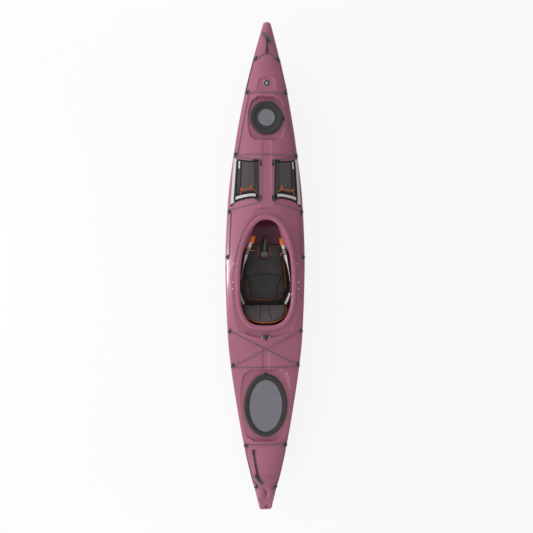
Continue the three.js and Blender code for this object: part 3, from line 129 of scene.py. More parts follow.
class Finish:
    """One material: a Principled surface and the nodes that feed it."""

    def __init__(self, name, **constants):
        self.material = bpy.data.materials.new(name)
        self.material.use_nodes = True
        self.tree = self.material.node_tree
        self.surface = self.tree.nodes["Principled BSDF"]
        for socket, value in constants.items():
            self.surface.inputs[socket.replace("_", " ")].default_value = value

    def node(self, kind, settings=None, values=None, output=0):
        made = self.tree.nodes.new(kind)
        for key, value in (settings or {}).items():
            setattr(made, key, value)
        for key, value in (values or {}).items():
            self.put(made.inputs[key], value)
        return Wire(self, made.outputs[output])

    def put(self, socket, value):
        if isinstance(value, Wire):
            self.tree.links.new(value.socket, socket)
        elif isinstance(value, tuple) and len(value) == 3 and socket.type == "RGBA":
            socket.default_value = (*value, 1.0)
        else:
            socket.default_value = value

    def feed(self, name, value):
        self.put(self.surface.inputs[name], value)
        return self

    def place(self):
        """Where a point is on the piece at rest, in metres."""
        return self.node("ShaderNodeTexCoord", output="Object")

    def parts(self, vector):
        split = self.node("ShaderNodeSeparateXYZ", values={0: vector})
        return [Wire(self, s) for s in split.socket.node.outputs]

    def along_and_across(self):
        """The piece's own UV map, in metres."""
        return self.parts(self.node("ShaderNodeTexCoord", output="UV"))[:2]

    def noise(self, scale, detail=2.0, roughness=0.5, at=None, stretch=(1, 1, 1)):
        where = self.node("ShaderNodeVectorMath", {"operation": "MULTIPLY"},
                          {0: at or self.place(), 1: stretch})
        return self.node("ShaderNodeTexNoise", values={
            "Vector": where, "Scale": scale, "Detail": detail, "Roughness": roughness})

    def mix(self, share, low, high):
        return self.node("ShaderNodeMix", {"data_type": "RGBA"}, {0: share, 6: low, 7: high}, output=2)

    def bump(self, height, distance, strength=1.0):
        normal = self.node("ShaderNodeBump", values={
            "Height": height, "Distance": distance, "Strength": strength})
        return self.feed("Normal", normal)


def rgb(red, green, blue):
    """A colour as a screen shows it (0 to 255), in the linear numbers that a shader wants."""
    def linear(c):
        c /= 255
        return c / 12.92 if c <= 0.04045 else ((c + 0.055) / 1.055) ** 2.4
    return linear(red), linear(green), linear(blue)
def scaled(colour, factor, lift=0.0):
    """A colour made darker or lighter, up to what a surface can reflect."""
    return tuple(min(c * factor + lift, 1) for c in colour)


print("shader helpers ready")

# %% [markdown]
# ## The moulded plastic
# The hull is rotomoulded: plastic powder melts inside a turning mould and comes out glossy, with a faint
# orange peel and a colour that is cloudy rather than flat. The bottom has been dragged over sand, so its
# gloss is broken by fine scratches along the boat. Noise gives all three, each at its own scale.

# %% Finish: hull plastic
def hull_plastic(name, colour, gloss, wear=0.55):
    finish = Finish(name, IOR=1.5, Coat_IOR=1.5, Coat_Roughness=0.08)
    place = finish.place()
    cloud = finish.noise(3.2, detail=3, at=place)
    speck = finish.noise(260, detail=2, at=place)
    body = finish.mix(cloud.between(0.35, 0.65), scaled(colour, 0.93), scaled(colour, 1.05))
    under = 1 - finish.parts(place)[2].between(0.015, 0.12)
    scratch = finish.noise(90, detail=4, roughness=0.7, at=place, stretch=(1, 0.04, 1)).between(0.56, 0.66)
    worn = scratch * under * wear
    finish.feed("Base Color", finish.mix(worn, body, scaled(colour, 1.5, 0.05)))
    finish.feed("Roughness", (speck * 0.10 + cloud * 0.08 + gloss) + worn * 0.4)
    finish.feed("Coat Weight", 0.55 - worn * 0.5)
    peel = finish.noise(140, detail=1, at=place)
    finish.bump(peel * 0.6 + speck * 0.25 - worn * 0.8, 0.00025, 0.35)
    return finish.material


MAUVE = rgb(173, 100, 124)
hull_finish = hull_plastic("glossy_mauve_plastic", MAUVE, 0.20)
# The inside is the same plastic with a duller gloss. Its darker colour is painted shade.
inner_finish_with_painted_shade = hull_plastic("inside_of_the_shell_painted_darker", rgb(160, 50, 90), 0.5, 0.0)
print("hull finishes:", hull_finish.name, inner_finish_with_painted_shade.name)

# %% [markdown]
# ## Small fittings
# Pad eyes, buckles and toggles are moulded nylon: nearly black, satin, with a fine spark-eroded texture and
# a faint paler mottle. Screws are stainless steel or have a pale cap, and beside the coaming those pale caps
# are a painted glint. One recipe with different numbers serves them all, and Cycles' pointiness isn't used,
# because the exported model couldn't keep it.

# %% Finish: nylon, steel and foam
def moulded(name, colour, rough, grain=420.0, depth=0.0002, sheen=0.06, coat=0.0):
    finish = Finish(name, IOR=1.48, Coat_Roughness=0.2)
    place = finish.place()
    grit = finish.noise(grain, detail=3, at=place)
    cloud = finish.noise(18, detail=2, at=place)
    shade = finish.mix((cloud * 0.6 + grit * 0.4).between(0.3, 0.75), colour, scaled(colour, 1, sheen * 0.35))
    finish.feed("Base Color", shade)
    finish.feed("Roughness", grit * 0.18 + cloud * 0.1 + rough)
    finish.surface.inputs["Coat Weight"].default_value = coat
    finish.bump(grit, depth, 0.5)
    return finish.material


nylon = moulded("satin_black_nylon", rgb(38, 38, 40), 0.34, coat=0.15)
grey_nylon = moulded("grey_nylon", rgb(156, 155, 158), 0.36)
shell_black = moulded("moulded_seat_black", rgb(34, 33, 34), 0.42, grain=180, depth=0.0004)
foam_grey = moulded("closed_cell_foam", rgb(66, 64, 64), 0.78, grain=900, depth=0.0006)
rubber = moulded("matt_black_rubber", rgb(52, 50, 52), 0.5, grain=520, depth=0.0003, sheen=0.05)
panel_grey = moulded("satin_grey_panel", rgb(122, 120, 128), 0.40, grain=300, depth=0.0005, sheen=0.12)


def steel_finish():
    finish = Finish("stainless_steel", Metallic=1.0)
    turned = finish.noise(300, detail=2, stretch=(1, 8, 1))
    finish.feed("Base Color", finish.mix(turned, rgb(150, 148, 150), rgb(225, 224, 226)))
    finish.feed("Roughness", turned * 0.2 + 0.18)
    return finish.material


steel = steel_finish()
fittings = (nylon, grey_nylon, shell_black, foam_grey, rubber, panel_grey, steel)
print("fitting finishes:", [m.name for m in fittings])

# %% [markdown]
# ## Cord and webbing
# Deck line is a braid: two sets of strands cross at an angle round the core, and a paler tracer strand
# turns up again and again. Webbing is woven in ribs across its width. Both patterns follow the piece, not
# the room, so each tube and strap below carries a UV map in metres: u runs along it and v round or across it.

# %% Finish: braid and webbing
def braid(name, colour, tracer, pitch=0.010):
    finish = Finish(name, Sheen_Weight=0.25, Sheen_Roughness=0.5, IOR=1.45)
    u, v = finish.along_and_across()
    along, turning = u * (2 * math.pi / pitch), v * (2 * math.pi * 4)
    one, two = (along + turning).wave(), (along - turning).wave()
    strands = one.size().most(two.size())
    over = one.size().above(two.size())
    mark = (u * (1 / pitch / 3) + v).ripple(1).between(0.82, 0.95) * over
    # The valleys between the strands are painted darker: painted shade.
    shade = finish.mix(strands.between(0.2, 1.0), scaled(colour, 0.42), colour)
    finish.feed("Base Color", finish.mix(mark, shade, tracer))
    finish.feed("Roughness", 0.85 - strands * 0.2)
    finish.bump(strands, 0.0006, 0.8)
    return finish.material


def webbing(name, colour, edge, ribs=0.0017):
    finish = Finish(name, Sheen_Weight=0.3, Sheen_Roughness=0.45, IOR=1.45)
    u, v = finish.along_and_across()
    weft, warp = (wire.ripple(pitch) * 0.5 + 0.5 for wire, pitch in ((u, ribs), (v, 0.0023)))
    weave = weft * 0.65 + warp * 0.35
    wear = finish.noise(60, detail=3)
    # The valleys between the ribs are painted darker: painted shade.
    shade = finish.mix(weave, scaled(colour, 0.66), colour)
    finish.feed("Base Color", finish.mix(wear.between(0.55, 0.8) * 0.35, shade, edge))
    finish.feed("Roughness", 0.9 - weave * 0.15)
    finish.bump(weave, 0.0005, 0.7)
    return finish.material


deck_cord = braid("grey_deck_cord", rgb(112, 104, 104), rgb(178, 172, 172))
black_cord = braid("black_toggle_cord", rgb(36, 36, 40), rgb(70, 70, 76), pitch=0.013)
orange_cord = braid("orange_shock_cord", rgb(252, 112, 22), rgb(255, 150, 60), pitch=0.007)
light_strap = webbing("pale_woven_strap", rgb(232, 226, 226), rgb(204, 197, 197))
black_strap = webbing("dark_woven_strap", rgb(34, 33, 34), rgb(64, 62, 62))
orange_strap = webbing("orange_woven_strap", rgb(255, 122, 16), rgb(232, 98, 14))
grey_strap = webbing("grey_woven_strap", rgb(128, 124, 126), rgb(96, 92, 94))
lines = (deck_cord, black_cord, orange_cord, light_strap, black_strap, orange_strap, grey_strap)
print("soft line finishes:", [m.name for m in lines])

# %% [markdown]
# ## Making a mesh from rings
# Nearly everything on a boat is a skin over cross-sections: the hull over its stations, a cord over
# circles, a strap over short rectangles. A loft joins such rings with quads. Blender has curves with a
# bevel for this too, but a mesh lets each ring differ and keeps the UV map in real metres.

# %% Mesh helpers
def unit(v):
    return v / np.linalg.norm(v)


def around(steps):
    """The angles of one full turn, evenly spread."""
    return np.linspace(0, 2 * np.pi, steps, endpoint=False)


def ellipse(centre, side, up, steps):
    """Points round a centre, from the two half axes."""
    a = around(steps)[:, None]
    return np.asarray(centre) + np.cos(a) * np.asarray(side) + np.sin(a) * np.asarray(up)


def powered(v, power):
    """A power that keeps the sign. It turns a circle into a rounded oblong."""
    return np.sign(v) * np.abs(v) ** power


def directions(line):
    """The way a line runs at each of its points."""
    runs = np.gradient(line, axis=0)
    return runs / np.linalg.norm(runs, axis=1)[:, None]


def run_of(line):
    """How far along a line each of its points lies."""
    return np.concatenate([[0], np.cumsum(np.linalg.norm(np.diff(line, axis=0), axis=1))])
def grid_faces(rows, columns, wrap_rows=False, wrap_columns=False):
    """Quads between a grid of points, numbered row by row."""
    r = np.arange(rows if wrap_rows else rows - 1)
    c = np.arange(columns if wrap_columns else columns - 1)
    R, C = np.meshgrid(r, c, indexing="ij")
    up, on = (R + 1) % rows, (C + 1) % columns
    quads = np.stack([R * columns + C, R * columns + on, up * columns + on, up * columns + C], axis=-1)
    return quads.reshape(-1, 4)


def mesh_piece(name, points, faces, material, uv=None):
    """An object from points in millimetres and faces, linked to the scene."""
    mesh = bpy.data.meshes.new(name)
    mesh.from_pydata((np.asarray(points, float) * MM).tolist(), [], [list(map(int, f)) for f in faces])
    if uv is not None:
        layer = mesh.uv_layers.new(name="metres")
        corners = np.zeros(len(mesh.loops), np.int32)
        mesh.loops.foreach_get("vertex_index", corners)
        layer.data.foreach_set("uv", np.asarray(uv, np.float32)[corners].ravel())
    mesh.polygons.foreach_set("use_smooth", np.ones(len(mesh.polygons), bool))
    mesh.update()
    obj = added(name, mesh)
    if material:
        mesh.materials.append(material)
    return obj


def facing_out(obj):
    """Turns the faces outwards: the volume that they enclose has to come out positive."""
    work = bmesh.new()
    work.from_mesh(obj.data)
    bmesh.ops.recalc_face_normals(work, faces=work.faces)
    if work.calc_volume(signed=True) < 0:
        bmesh.ops.reverse_faces(work, faces=work.faces)
    work.to_mesh(obj.data)
    work.free()
    return obj


def fan(centre, ring):
    """Triangles that close a ring of point numbers round its centre."""
    return [[centre, after, before] for before, after in zip(ring, np.roll(ring, -1))]


def loft(name, rings, material, loop=False, capped=True):
    """A skin over closed rings with the same count. UV: u along in metres, v from 0 to 1 round the ring."""
    rings = np.asarray(rings, float)
    count, around = rings.shape[:2]
    points = rings.reshape(-1, 3)
    middles = rings.mean(axis=1)
    run = run_of(middles) * MM
    v = np.minimum(np.arange(around), around - np.arange(around)) / around * 2
    uv = np.stack([np.repeat(run, around), np.tile(v, count)], axis=1)
    faces = grid_faces(count, around, wrap_rows=loop, wrap_columns=True).tolist()
    if capped and not loop:
        points = np.vstack([points, middles[:1], middles[-1:]])
        uv = np.vstack([uv, [[run[0], 0.5]], [[run[-1], 0.5]]])
        numbers = np.arange(count * around).reshape(count, around)
        faces += fan(count * around, numbers[0]) + fan(count * around + 1, numbers[-1][::-1])
    return facing_out(mesh_piece(name, points, faces, material, uv=uv))


def join(name, objects):
    """Makes one object of several, which keep their materials."""
    bpy.ops.object.select_all(action="DESELECT")
    for o in objects:
        o.select_set(True)
    bpy.context.view_layer.objects.active = objects[0]
    if len(objects) > 1:
        bpy.ops.object.join()
    objects[0].name = objects[0].data.name = name
    return objects[0]


def bevelled(obj, width):
    """Softens the sharp edges of a piece, as a mould would."""
    soft = obj.modifiers.new("soft edges", "BEVEL")
    soft.width, soft.segments = width * MM, 2
    soft.limit_method, soft.angle_limit = "ANGLE", math.radians(35)
    return obj


def fit(obj, body, slot=None, *stands_for):
    """Lets a piece ride on its body and hides the CAD solids that it stands for. The slot is not used."""
    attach(obj, body)
    if stands_for:
        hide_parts(*stands_for)
    return obj


print("mesh helpers ready")

# %% [markdown]
# ## The lines of the hull
# A boat is drawn as a table of stations: how wide it is, and how high its keel, its sheer and the crown of
# its deck are at places along it. The CAD solids were made from this table, and the same numbers here give
# the same boat, only finer. A curve that never overshoots its points keeps the lines fair.

# %% Station table and fair curves
HULL_LENGTH, HULL_BEAM, HULL_DEPTH, WALL = 3810.0, 645.0, 400.0, 4.5
STATIONS = np.array([  # along, beam, keel, sheer, crown
    (0.0, 0.13, 0.61, 0.672, 0.045), (0.0018, 0.147, 0.565, 0.672, 0.05),
    (0.0047, 0.161, 0.5, 0.671, 0.052), (0.0108, 0.176, 0.415, 0.669, 0.055),
    (0.021, 0.209, 0.315, 0.666, 0.058), (0.0412, 0.272, 0.19, 0.661, 0.062),
    (0.0614, 0.344, 0.12, 0.656, 0.067), (0.102, 0.462, 0.052, 0.648, 0.078),
    (0.143, 0.5665, 0.022, 0.64, 0.088), (0.184, 0.657, 0.008, 0.634, 0.094),
    (0.2257, 0.738, 0.002, 0.63, 0.096), (0.267, 0.8155, 0.0, 0.627, 0.096),
    (0.309, 0.882, 0.0, 0.624, 0.096), (0.3507, 0.933, 0.0, 0.622, 0.097),
    (0.372, 0.9475, 0.0, 0.622, 0.111), (0.392, 0.96, 0.0, 0.622, 0.14),
    (0.434, 0.981, 0.0, 0.622, 0.225), (0.476, 0.994, 0.0, 0.623, 0.272),
    (0.508, 1.0, 0.0, 0.624, 0.278), (0.539, 0.995, 0.0, 0.627, 0.272),
    (0.581, 0.977, 0.0, 0.634, 0.257), (0.622, 0.951, 0.0, 0.644, 0.24),
    (0.6635, 0.913, 0.0, 0.658, 0.232), (0.7047, 0.853, 0.004, 0.679, 0.222),
    (0.745, 0.783, 0.014, 0.705, 0.202), (0.786, 0.707, 0.032, 0.734, 0.182),
    (0.826, 0.619, 0.06, 0.769, 0.161), (0.866, 0.519, 0.103, 0.806, 0.136),
    (0.905, 0.406, 0.175, 0.85, 0.106), (0.944, 0.281, 0.312, 0.895, 0.077),
    (0.963, 0.2155, 0.42, 0.918, 0.064), (0.983, 0.1457, 0.58, 0.944, 0.049),
    (0.9924, 0.111, 0.692, 0.957, 0.04), (0.998, 0.086, 0.79, 0.965, 0.033),
    (1.0, 0.06, 0.86, 0.969, 0.031)])
FULL_SECTION = np.array([
    (0, 0), (0.11, 0), (0.42, 0.052), (0.66, 0.11), (0.84, 0.25), (0.94, 0.52), (0.978, 0.82), (1, 1)])
VEE_SECTION = np.array([
    (0, 0), (0.1, 0.015), (0.29, 0.15), (0.47, 0.32), (0.65, 0.54), (0.82, 0.76), (0.94, 0.925), (1, 1)])
FULLNESS = np.array([(0, 0), (0.1, 0.2), (0.25, 0.85), (0.35, 1), (0.64, 1), (0.76, 0.8), (0.9, 0.2), (1, 0)])
DECK_POWER = 2.2


def curve_through(xs, ys):
    """A smooth function through points in order, which never overshoots them."""
    xs, ys = np.asarray(xs, float), np.asarray(ys, float)
    slopes = np.diff(ys) / np.diff(xs)
    tangents = np.zeros(len(xs))
    tangents[0], tangents[-1] = slopes[0], slopes[-1]
    for i in range(1, len(xs) - 1):
        before, after = slopes[i - 1], slopes[i]
        if before * after > 0:
            left, right_ = xs[i] - xs[i - 1], xs[i + 1] - xs[i]
            a, b = 2 * right_ + left, right_ + 2 * left
            tangents[i] = (a + b) / (a / before + b / after)

    def at(x):
        x = np.clip(np.asarray(x, float), xs[0], xs[-1])
        i = np.clip(np.searchsorted(xs, x, side="right") - 1, 0, len(xs) - 2)
        span = xs[i + 1] - xs[i]
        t = (x - xs[i]) / span
        return ((2 * t**3 - 3 * t**2 + 1) * ys[i] + (t**3 - 2 * t**2 + t) * span * tangents[i]
                + (3 * t**2 - 2 * t**3) * ys[i + 1] + (t**3 - t**2) * span * tangents[i + 1])
    return at


beam_at, keel_at, sheer_at, crown_at = (curve_through(STATIONS[:, 0], STATIONS[:, i]) for i in (1, 2, 3, 4))
fullness_at = curve_through(FULLNESS[:, 0], FULLNESS[:, 1])


def half_beam(y):
    return beam_at(y / HULL_LENGTH + 0.5) * HULL_BEAM / 2


def sheer_z(y):
    return sheer_at(y / HULL_LENGTH + 0.5) * HULL_DEPTH


def plain_deck(x, y):
    """Height of the deck before anything is sunk into it."""
    across = np.minimum(np.abs(x) / half_beam(y), 1)
    return sheer_z(y) + crown_at(y / HULL_LENGTH + 0.5) * HULL_DEPTH * (1 - across**DECK_POWER)


def eased(t):
    """0 to 1 with soft ends."""
    t = np.clip(t, 0, 1)
    return t * t * (3 - 2 * t)


print("beam amidships", round(float(2 * half_beam(30.0)), 1), "mm")

# %% [markdown]
# ## What is sunk into the deck
# The two hatches sit in recesses, a groove runs down the middle of each deck, a shallow plate carries a
# round badge, and a gutter goes round the coaming. Cutting these with booleans leaves knife edges that a
# mould could never release. Here the deck is one height over x and y, and each recess is a soft-edged mask
# that pulls the height down to its floor, so every edge comes out rounded.

# %% Deck recesses
COAMING = dict(front=424.053, wide=-127.0, aft=-484.0, half=242.5, fore_power=2.2, aft_power=2.8)
RIM_BAND, RIM_THICK, RISER_WALL, RISER_DROP = 38.0, 11.0, 7.0, 44.0
RIM_PLACES = [COAMING["aft"], COAMING["wide"], (COAMING["wide"] + COAMING["front"]) / 2, COAMING["front"]]
rim_z = curve_through(RIM_PLACES, [306, 319, (319 + 380) / 2 - RISER_WALL, 380])
BOW_HATCH = dict(y=1182.0, wide=130.5, long=130.5, panel=65, floor=333.0)
STERN_HATCH = dict(y=-1082.0, wide=172.0, long=247.0, panel=42, floor=263.0)
RECESSES = [
    dict(floor=333, fore=1335, aft=1016, fore_half=96, wide_half=140, aft_half=112, corner=34),
    dict(floor=263, fore=-803, aft=-1355, fore_half=152, wide_half=196, aft_half=128, corner=40),
]
BADGE = dict(y=[1389, 1407, 1440, 1489], half=[94, 81, 68, 50], depth=12)
GROOVES = [(1400, 1328, 41), (1030, 530, 32), (-637, -820, 25)]  # fore end, aft end, half width
GUTTER = dict(reach=60, depth=36, aft=-531, half=232)            # round the coaming and behind it
HUMP = dict(fore=-1733, aft=-1840, half=62, rise=6, pleat=8)     # ahead of the stern shelf
SLOT = dict(fore=-1752, aft=-1830, half=7, depth=12)             # down the middle of the hump
DIPS = dict(x=262, y=-62, wide=17, long=66, depth=4.0)           # beside the straps
SHELF_FORE, SHELF_Z = -1812, 277.0


def recess_half(r):
    """Half width of a recess along the boat, drawn in at both ends."""
    aft, fore, c = r["aft"], r["fore"], r["corner"]
    aft_half, wide_half, fore_half = r["aft_half"], r["wide_half"], r["fore_half"]
    return curve_through(
        [aft, aft + c / 2, aft + c * 1.5, (fore + aft) / 2, fore - c * 1.5, fore - c / 2, fore],
        [aft_half - c, aft_half, (aft_half + wide_half) / 2, wide_half,
         (fore_half + wide_half) / 2, fore_half, fore_half - c])


def coaming_form(fore):
    """Length and squareness of the coaming's outline, ahead of its widest place or behind it."""
    return (np.where(fore, COAMING["front"] - COAMING["wide"], COAMING["wide"] - COAMING["aft"]),
            np.where(fore, COAMING["fore_power"], COAMING["aft_power"]))


def coaming_gap(x, y):
    """How far a point lies outside the outer edge of the coaming."""
    reach, power = coaming_form(y >= COAMING["wide"])
    u, v = np.abs(x) / COAMING["half"] + 1e-9, np.abs(y - COAMING["wide"]) / reach + 1e-9
    size = (u**power + v**power) ** (1 / power)
    slope = np.hypot((u / size) ** (power - 1) / COAMING["half"], (v / size) ** (power - 1) / reach)
    return (size - 1) / slope


def sunk(z, floor, mask):
    """Pulls a height down to a floor, as far as the mask says."""
    return z - mask * np.maximum(z - floor, 0)


def between_ends(y, ends):
    return np.minimum(ends["fore"] - y, y - ends["aft"])


def deck_height(x, y):
    """Height of the finished deck."""
    x, y = np.broadcast_arrays(np.asarray(x, float), np.asarray(y, float))
    z = plain_deck(x, y)
    for r in RECESSES:
        inside = np.minimum(recess_half(r)(y) - np.abs(x), between_ends(y, r))
        z = sunk(z, r["floor"], eased((inside + 15) / 19))
    middle = plain_deck(0 * x, y)
    inside = np.minimum(np.interp(y, BADGE["y"], BADGE["half"]) - np.abs(x), y - BADGE["y"][0])
    inside = np.minimum(inside, BADGE["y"][-1] - 9 * (x / 50) ** 2 - y)
    z = sunk(z, middle - BADGE["depth"], eased((inside + 6) / 11))
    for fore, aft, half in GROOVES:
        inside = np.minimum(half - np.abs(x), np.minimum(fore - y, (y - aft)) * 0.8)
        z = sunk(z, middle - 5, eased((inside + 4) / 7))
    gutter = eased((GUTTER["reach"] - coaming_gap(x, y)) / 11)
    behind = eased((y - GUTTER["aft"] - 0.14 * np.abs(x)) / 13) * eased((GUTTER["half"] - np.abs(x)) / 30)
    z = sunk(z, rim_z(y) - GUTTER["depth"], np.maximum(gutter, behind * (y < COAMING["aft"] + 60)))
    lobe = (np.abs(x) - HUMP["half"] / 2) / (HUMP["half"] / 2)
    ends = np.minimum(HUMP["fore"] - 13 * lobe**2 - y, y - HUMP["aft"])
    inside = np.minimum(HUMP["half"] - np.abs(x), ends)
    z = z + eased((inside + 5) / 9) * np.maximum(middle + HUMP["rise"] - HUMP["pleat"] * lobe**2 - z, 0)
    z = sunk(z, SHELF_Z, eased((SHELF_FORE - y + 4) / 8))
    inside = np.minimum(SLOT["half"] - np.abs(x), between_ends(y, SLOT))
    z = sunk(z, middle - SLOT["depth"], eased((inside + 2) / 3))
    away = np.sqrt(((np.abs(x) - DIPS["x"]) / DIPS["wide"]) ** 2 + ((y - DIPS["y"]) / DIPS["long"]) ** 2)
    return z - DIPS["depth"] * eased(1.25 - away) * (np.abs(x) < 300)


print("floor of the gutter beside the seat", round(deck_height(250, -127), 1), "mm")

# %% [markdown]
# ## Rings of a section
# Under the gunwale, a section is flat-bottomed amidships and a vee at the ends, mixed by a third table.
# The corner where side meets deck is sharp in the table. A rotomoulded edge has a radius of about a
# centimetre, because molten plastic won't fill anything tighter, so the ring is relaxed there a few times.

# %% Hull sections
def section_curves(table):
    order = np.arange(len(table))
    return curve_through(order, table[:, 0]), curve_through(order, table[:, 1])


FULL_X, FULL_UP = section_curves(FULL_SECTION)
VEE_X, VEE_UP = section_curves(VEE_SECTION)
DECK_COLUMNS, SIDE_COLUMNS = 157, 34


def hull_ring(y, height):
    """One closed section: the deck from port to starboard, then the bottom back to port."""
    half, full = half_beam(y), fullness_at(y / HULL_LENGTH + 0.5)
    keel, sheer = keel_at(y / HULL_LENGTH + 0.5) * HULL_DEPTH, sheer_z(y)
    share = np.linspace(-1, 1, DECK_COLUMNS)
    across = share * half
    deck = np.stack([across, np.full_like(across, y), height(across, y)], axis=1)
    k = np.linspace(7, 0, SIDE_COLUMNS)[1:]
    x = half * (FULL_X(k) * full + VEE_X(k) * (1 - full))
    z = keel + (sheer - keel) * (FULL_UP(k) * full + VEE_UP(k) * (1 - full))
    starboard = np.stack([x, np.full_like(x, y), z], axis=1)
    port = starboard[:-1][::-1] * (-1, 1, 1)
    return np.vstack([deck, starboard, port])


def relaxed(rings, passes=9):
    """Rounds the gunwale. Rings are smoothed round themselves, only near the corners."""
    count = rings.shape[1]
    corner = np.zeros(count)
    for place in (0, DECK_COLUMNS - 1):
        away = np.abs((np.arange(count) - place + count // 2) % count - count // 2)
        corner = np.maximum(corner, np.clip(1 - away / 4, 0, 1))
    weight = (corner * 0.5)[None, :, None]
    for _ in range(passes):
        beside = (np.roll(rings, 1, axis=1) + np.roll(rings, -1, axis=1)) / 2
        rings = rings + (beside - rings) * weight
    return rings


def stations_along():
    """Closer where something is sunk into the deck, wider where it is plain."""
    ends = (-1898, -1890, -1868, -1720, -1375, -780, -560, 500, 980, 1500, 1880, 1898)
    steps = (1.2, 1.6, 3.0, 12, 4.0, 6, 4.5, 8, 3.8, 10, 2)
    places = [np.arange(a, b, step) for a, b, step in zip(ends, ends[1:], steps)] + [[1898.0]]
    return np.unique(np.round(np.concatenate(places), 3))


ys = stations_along()
rings = relaxed(np.array([hull_ring(y, deck_height) for y in ys]))
print("hull sections:", rings.shape[0], "with", rings.shape[1], "points each")

# %% [markdown]
# ## Openings in the skin
# The cockpit and the two hatches are holes in the deck. Faces inside an outline are dropped, and the points
# left hanging over its edge are pulled out onto it, so that the hole has a clean edge without any boolean.
# The skin then gets its real thickness, and the inside its own duller finish, in a darker colour that is
# painted shade.

# %% Holes and the shell
def coaming_point(angle, inset):
    """Outline of the coaming at angles from the bow, moved inwards by inset."""
    c, s = np.cos(angle), np.sin(angle)
    reach, power = coaming_form(c >= 0)
    x = COAMING["half"] * powered(s, 2 / power)
    y = reach * powered(c, 2 / power)
    steep_x = np.sign(x) * (np.abs(x) / COAMING["half"]) ** (power - 1) / COAMING["half"]
    steep_y = np.sign(y) * (np.abs(y) / reach) ** (power - 1) / reach
    size = np.hypot(steep_x, steep_y)
    return x - inset * steep_x / size, COAMING["wide"] + y - inset * steep_y / size


def thigh_hook(y):
    away = np.minimum(np.abs(y - 256) / 140, 1)
    return 24 * (1 - away**2) ** 2


def coaming_outline(steps, inset, hooked=0.0):
    angle = around(steps)
    _, outer = coaming_point(angle, 0)
    return np.stack(coaming_point(angle, inset + hooked * thigh_hook(outer)), axis=1)


def oval_outline(place, inset, steps=160):
    """Outline of a hatch, moved inwards by inset."""
    wide, long = place["wide"], place["long"]
    c, s = np.cos(around(steps)), np.sin(around(steps))
    size = np.hypot(c / wide, s / long)
    return np.stack([c * (wide - inset / wide / size), place["y"] + s * (long - inset / long / size)], axis=1)


def inside_outline(points, outline):
    """Whether points lie inside a closed outline, and the nearest place on it."""
    a, b = outline, np.roll(outline, -1, axis=0)
    inside = np.zeros(len(points), bool)
    best, near = np.full(len(points), np.inf), points.copy()
    x, y = points.T
    for (ax, ay), (bx, by) in zip(a, b):
        if ay != by:
            crosses = ((ay > y) != (by > y)) & (x < (bx - ax) * (y - ay) / (by - ay) + ax)
            inside ^= crosses
        length = (bx - ax) ** 2 + (by - ay) ** 2 + 1e-12
        t = np.clip(((x - ax) * (bx - ax) + (y - ay) * (by - ay)) / length, 0, 1)
        fx, fy = ax + t * (bx - ax), ay + t * (by - ay)
        gap = (x - fx) ** 2 + (y - fy) ** 2
        closer = gap < best
        best[closer] = gap[closer]
        near[closer] = np.stack([fx, fy], axis=1)[closer]
    return inside, near


def cut_hole(points, faces, outline, deck_points):
    """Drops the faces inside an outline and pulls the cut edge onto it."""
    xy, near = points[:, :2], 20
    low, high = outline.min(axis=0) - near, outline.max(axis=0) + near
    index = np.flatnonzero(deck_points & ((xy > low) & (xy < high)).all(axis=1))
    inner = np.zeros(len(points), bool)
    inner[index], nearest = inside_outline(xy[index], outline)
    count = inner[faces].sum(axis=1)
    edge = np.unique(faces[(count > 0) & (count < faces.shape[1])])
    pick = np.isin(index, edge[inner[edge]])
    points[index[pick], :2] = nearest[pick]
    points[index[pick], 2] = deck_height(*nearest[pick].T)
    return points, faces[count < faces.shape[1]]


def end_cap(ring, reach, steps=5):
    """Rings that close an end in a quarter round."""
    middle = ring.mean(axis=0)
    direction = np.sign(middle[1])
    small = min(np.ptp(ring[:, 0]), np.ptp(ring[:, 2])) / 2
    made = []
    for t in np.linspace(0, math.pi / 2, steps + 1)[1:]:
        shrink = 1 - reach * (1 - math.cos(t)) / small
        made.append((ring - middle) * (shrink, 1, shrink) + middle + (0, direction * reach * math.sin(t), 0))
    return made


END_ROUND, NECK_INSET, PLUG_Y, PLUG_HOLE = 7.0, 27, -1883.0, 5.4
skin_rings = np.array([*end_cap(rings[0], END_ROUND)[::-1], *rings, *end_cap(rings[-1], END_ROUND)])
row_count, ring_count = skin_rings.shape[:2]
skin_points = skin_rings.reshape(-1, 3)
skin_faces = grid_faces(row_count, ring_count, wrap_columns=True)
deck_mask = np.tile(np.arange(ring_count) < DECK_COLUMNS, row_count)
for outline in (coaming_outline(420, 34.5, 2 / 3), oval_outline(BOW_HATCH, NECK_INSET),
                oval_outline(STERN_HATCH, NECK_INSET),
                ellipse((0, PLUG_Y), (PLUG_HOLE, 0), (0, PLUG_HOLE), 40)):
    skin_points, skin_faces = cut_hole(skin_points, skin_faces, outline, deck_mask)
used, packed = np.unique(skin_faces, return_inverse=True)
skin_points, skin_faces = skin_points[used], packed.reshape(skin_faces.shape)
first_ring, final_ring = (
    [int(np.flatnonzero(used == row * ring_count + i)[0]) for i in range(ring_count)]
    for row in (0, row_count - 1))
last = len(skin_points)
all_faces = skin_faces.tolist() + fan(last, first_ring) + fan(last + 1, final_ring[::-1])
skin_points = np.vstack([skin_points, *(skin_points[ring].mean(axis=0) for ring in (first_ring, final_ring))])
shell = facing_out(mesh_piece("moulded_shell", skin_points, all_faces, hull_finish))
shell.data.materials.append(inner_finish_with_painted_shade)
thick = shell.modifiers.new("wall", "SOLIDIFY")
thick.thickness, thick.offset = WALL * MM, -1
thick.material_offset, thick.use_even_offset = 1, False
fit(shell, "hull", "hull_plastic", "hull", "deck")
print("shell faces:", len(all_faces))

# %% [markdown]
# ## The coaming
# The rim is the lip that a spray skirt's elastic grips. On the real boat it is moulded with the deck: a
# rolled band, standing on a riser that leans inwards beside the thighs to give the knees a hook. It is a
# loop of one profile with rounded corners, so the profile is written once and swept round the outline.

# %% Coaming rim
def turn_of(into, out):
    """How far a line turns at a corner, from the two legs that leave it."""
    return math.acos(np.clip(-into.dot(out) / np.linalg.norm(into) / np.linalg.norm(out), -1, 1))


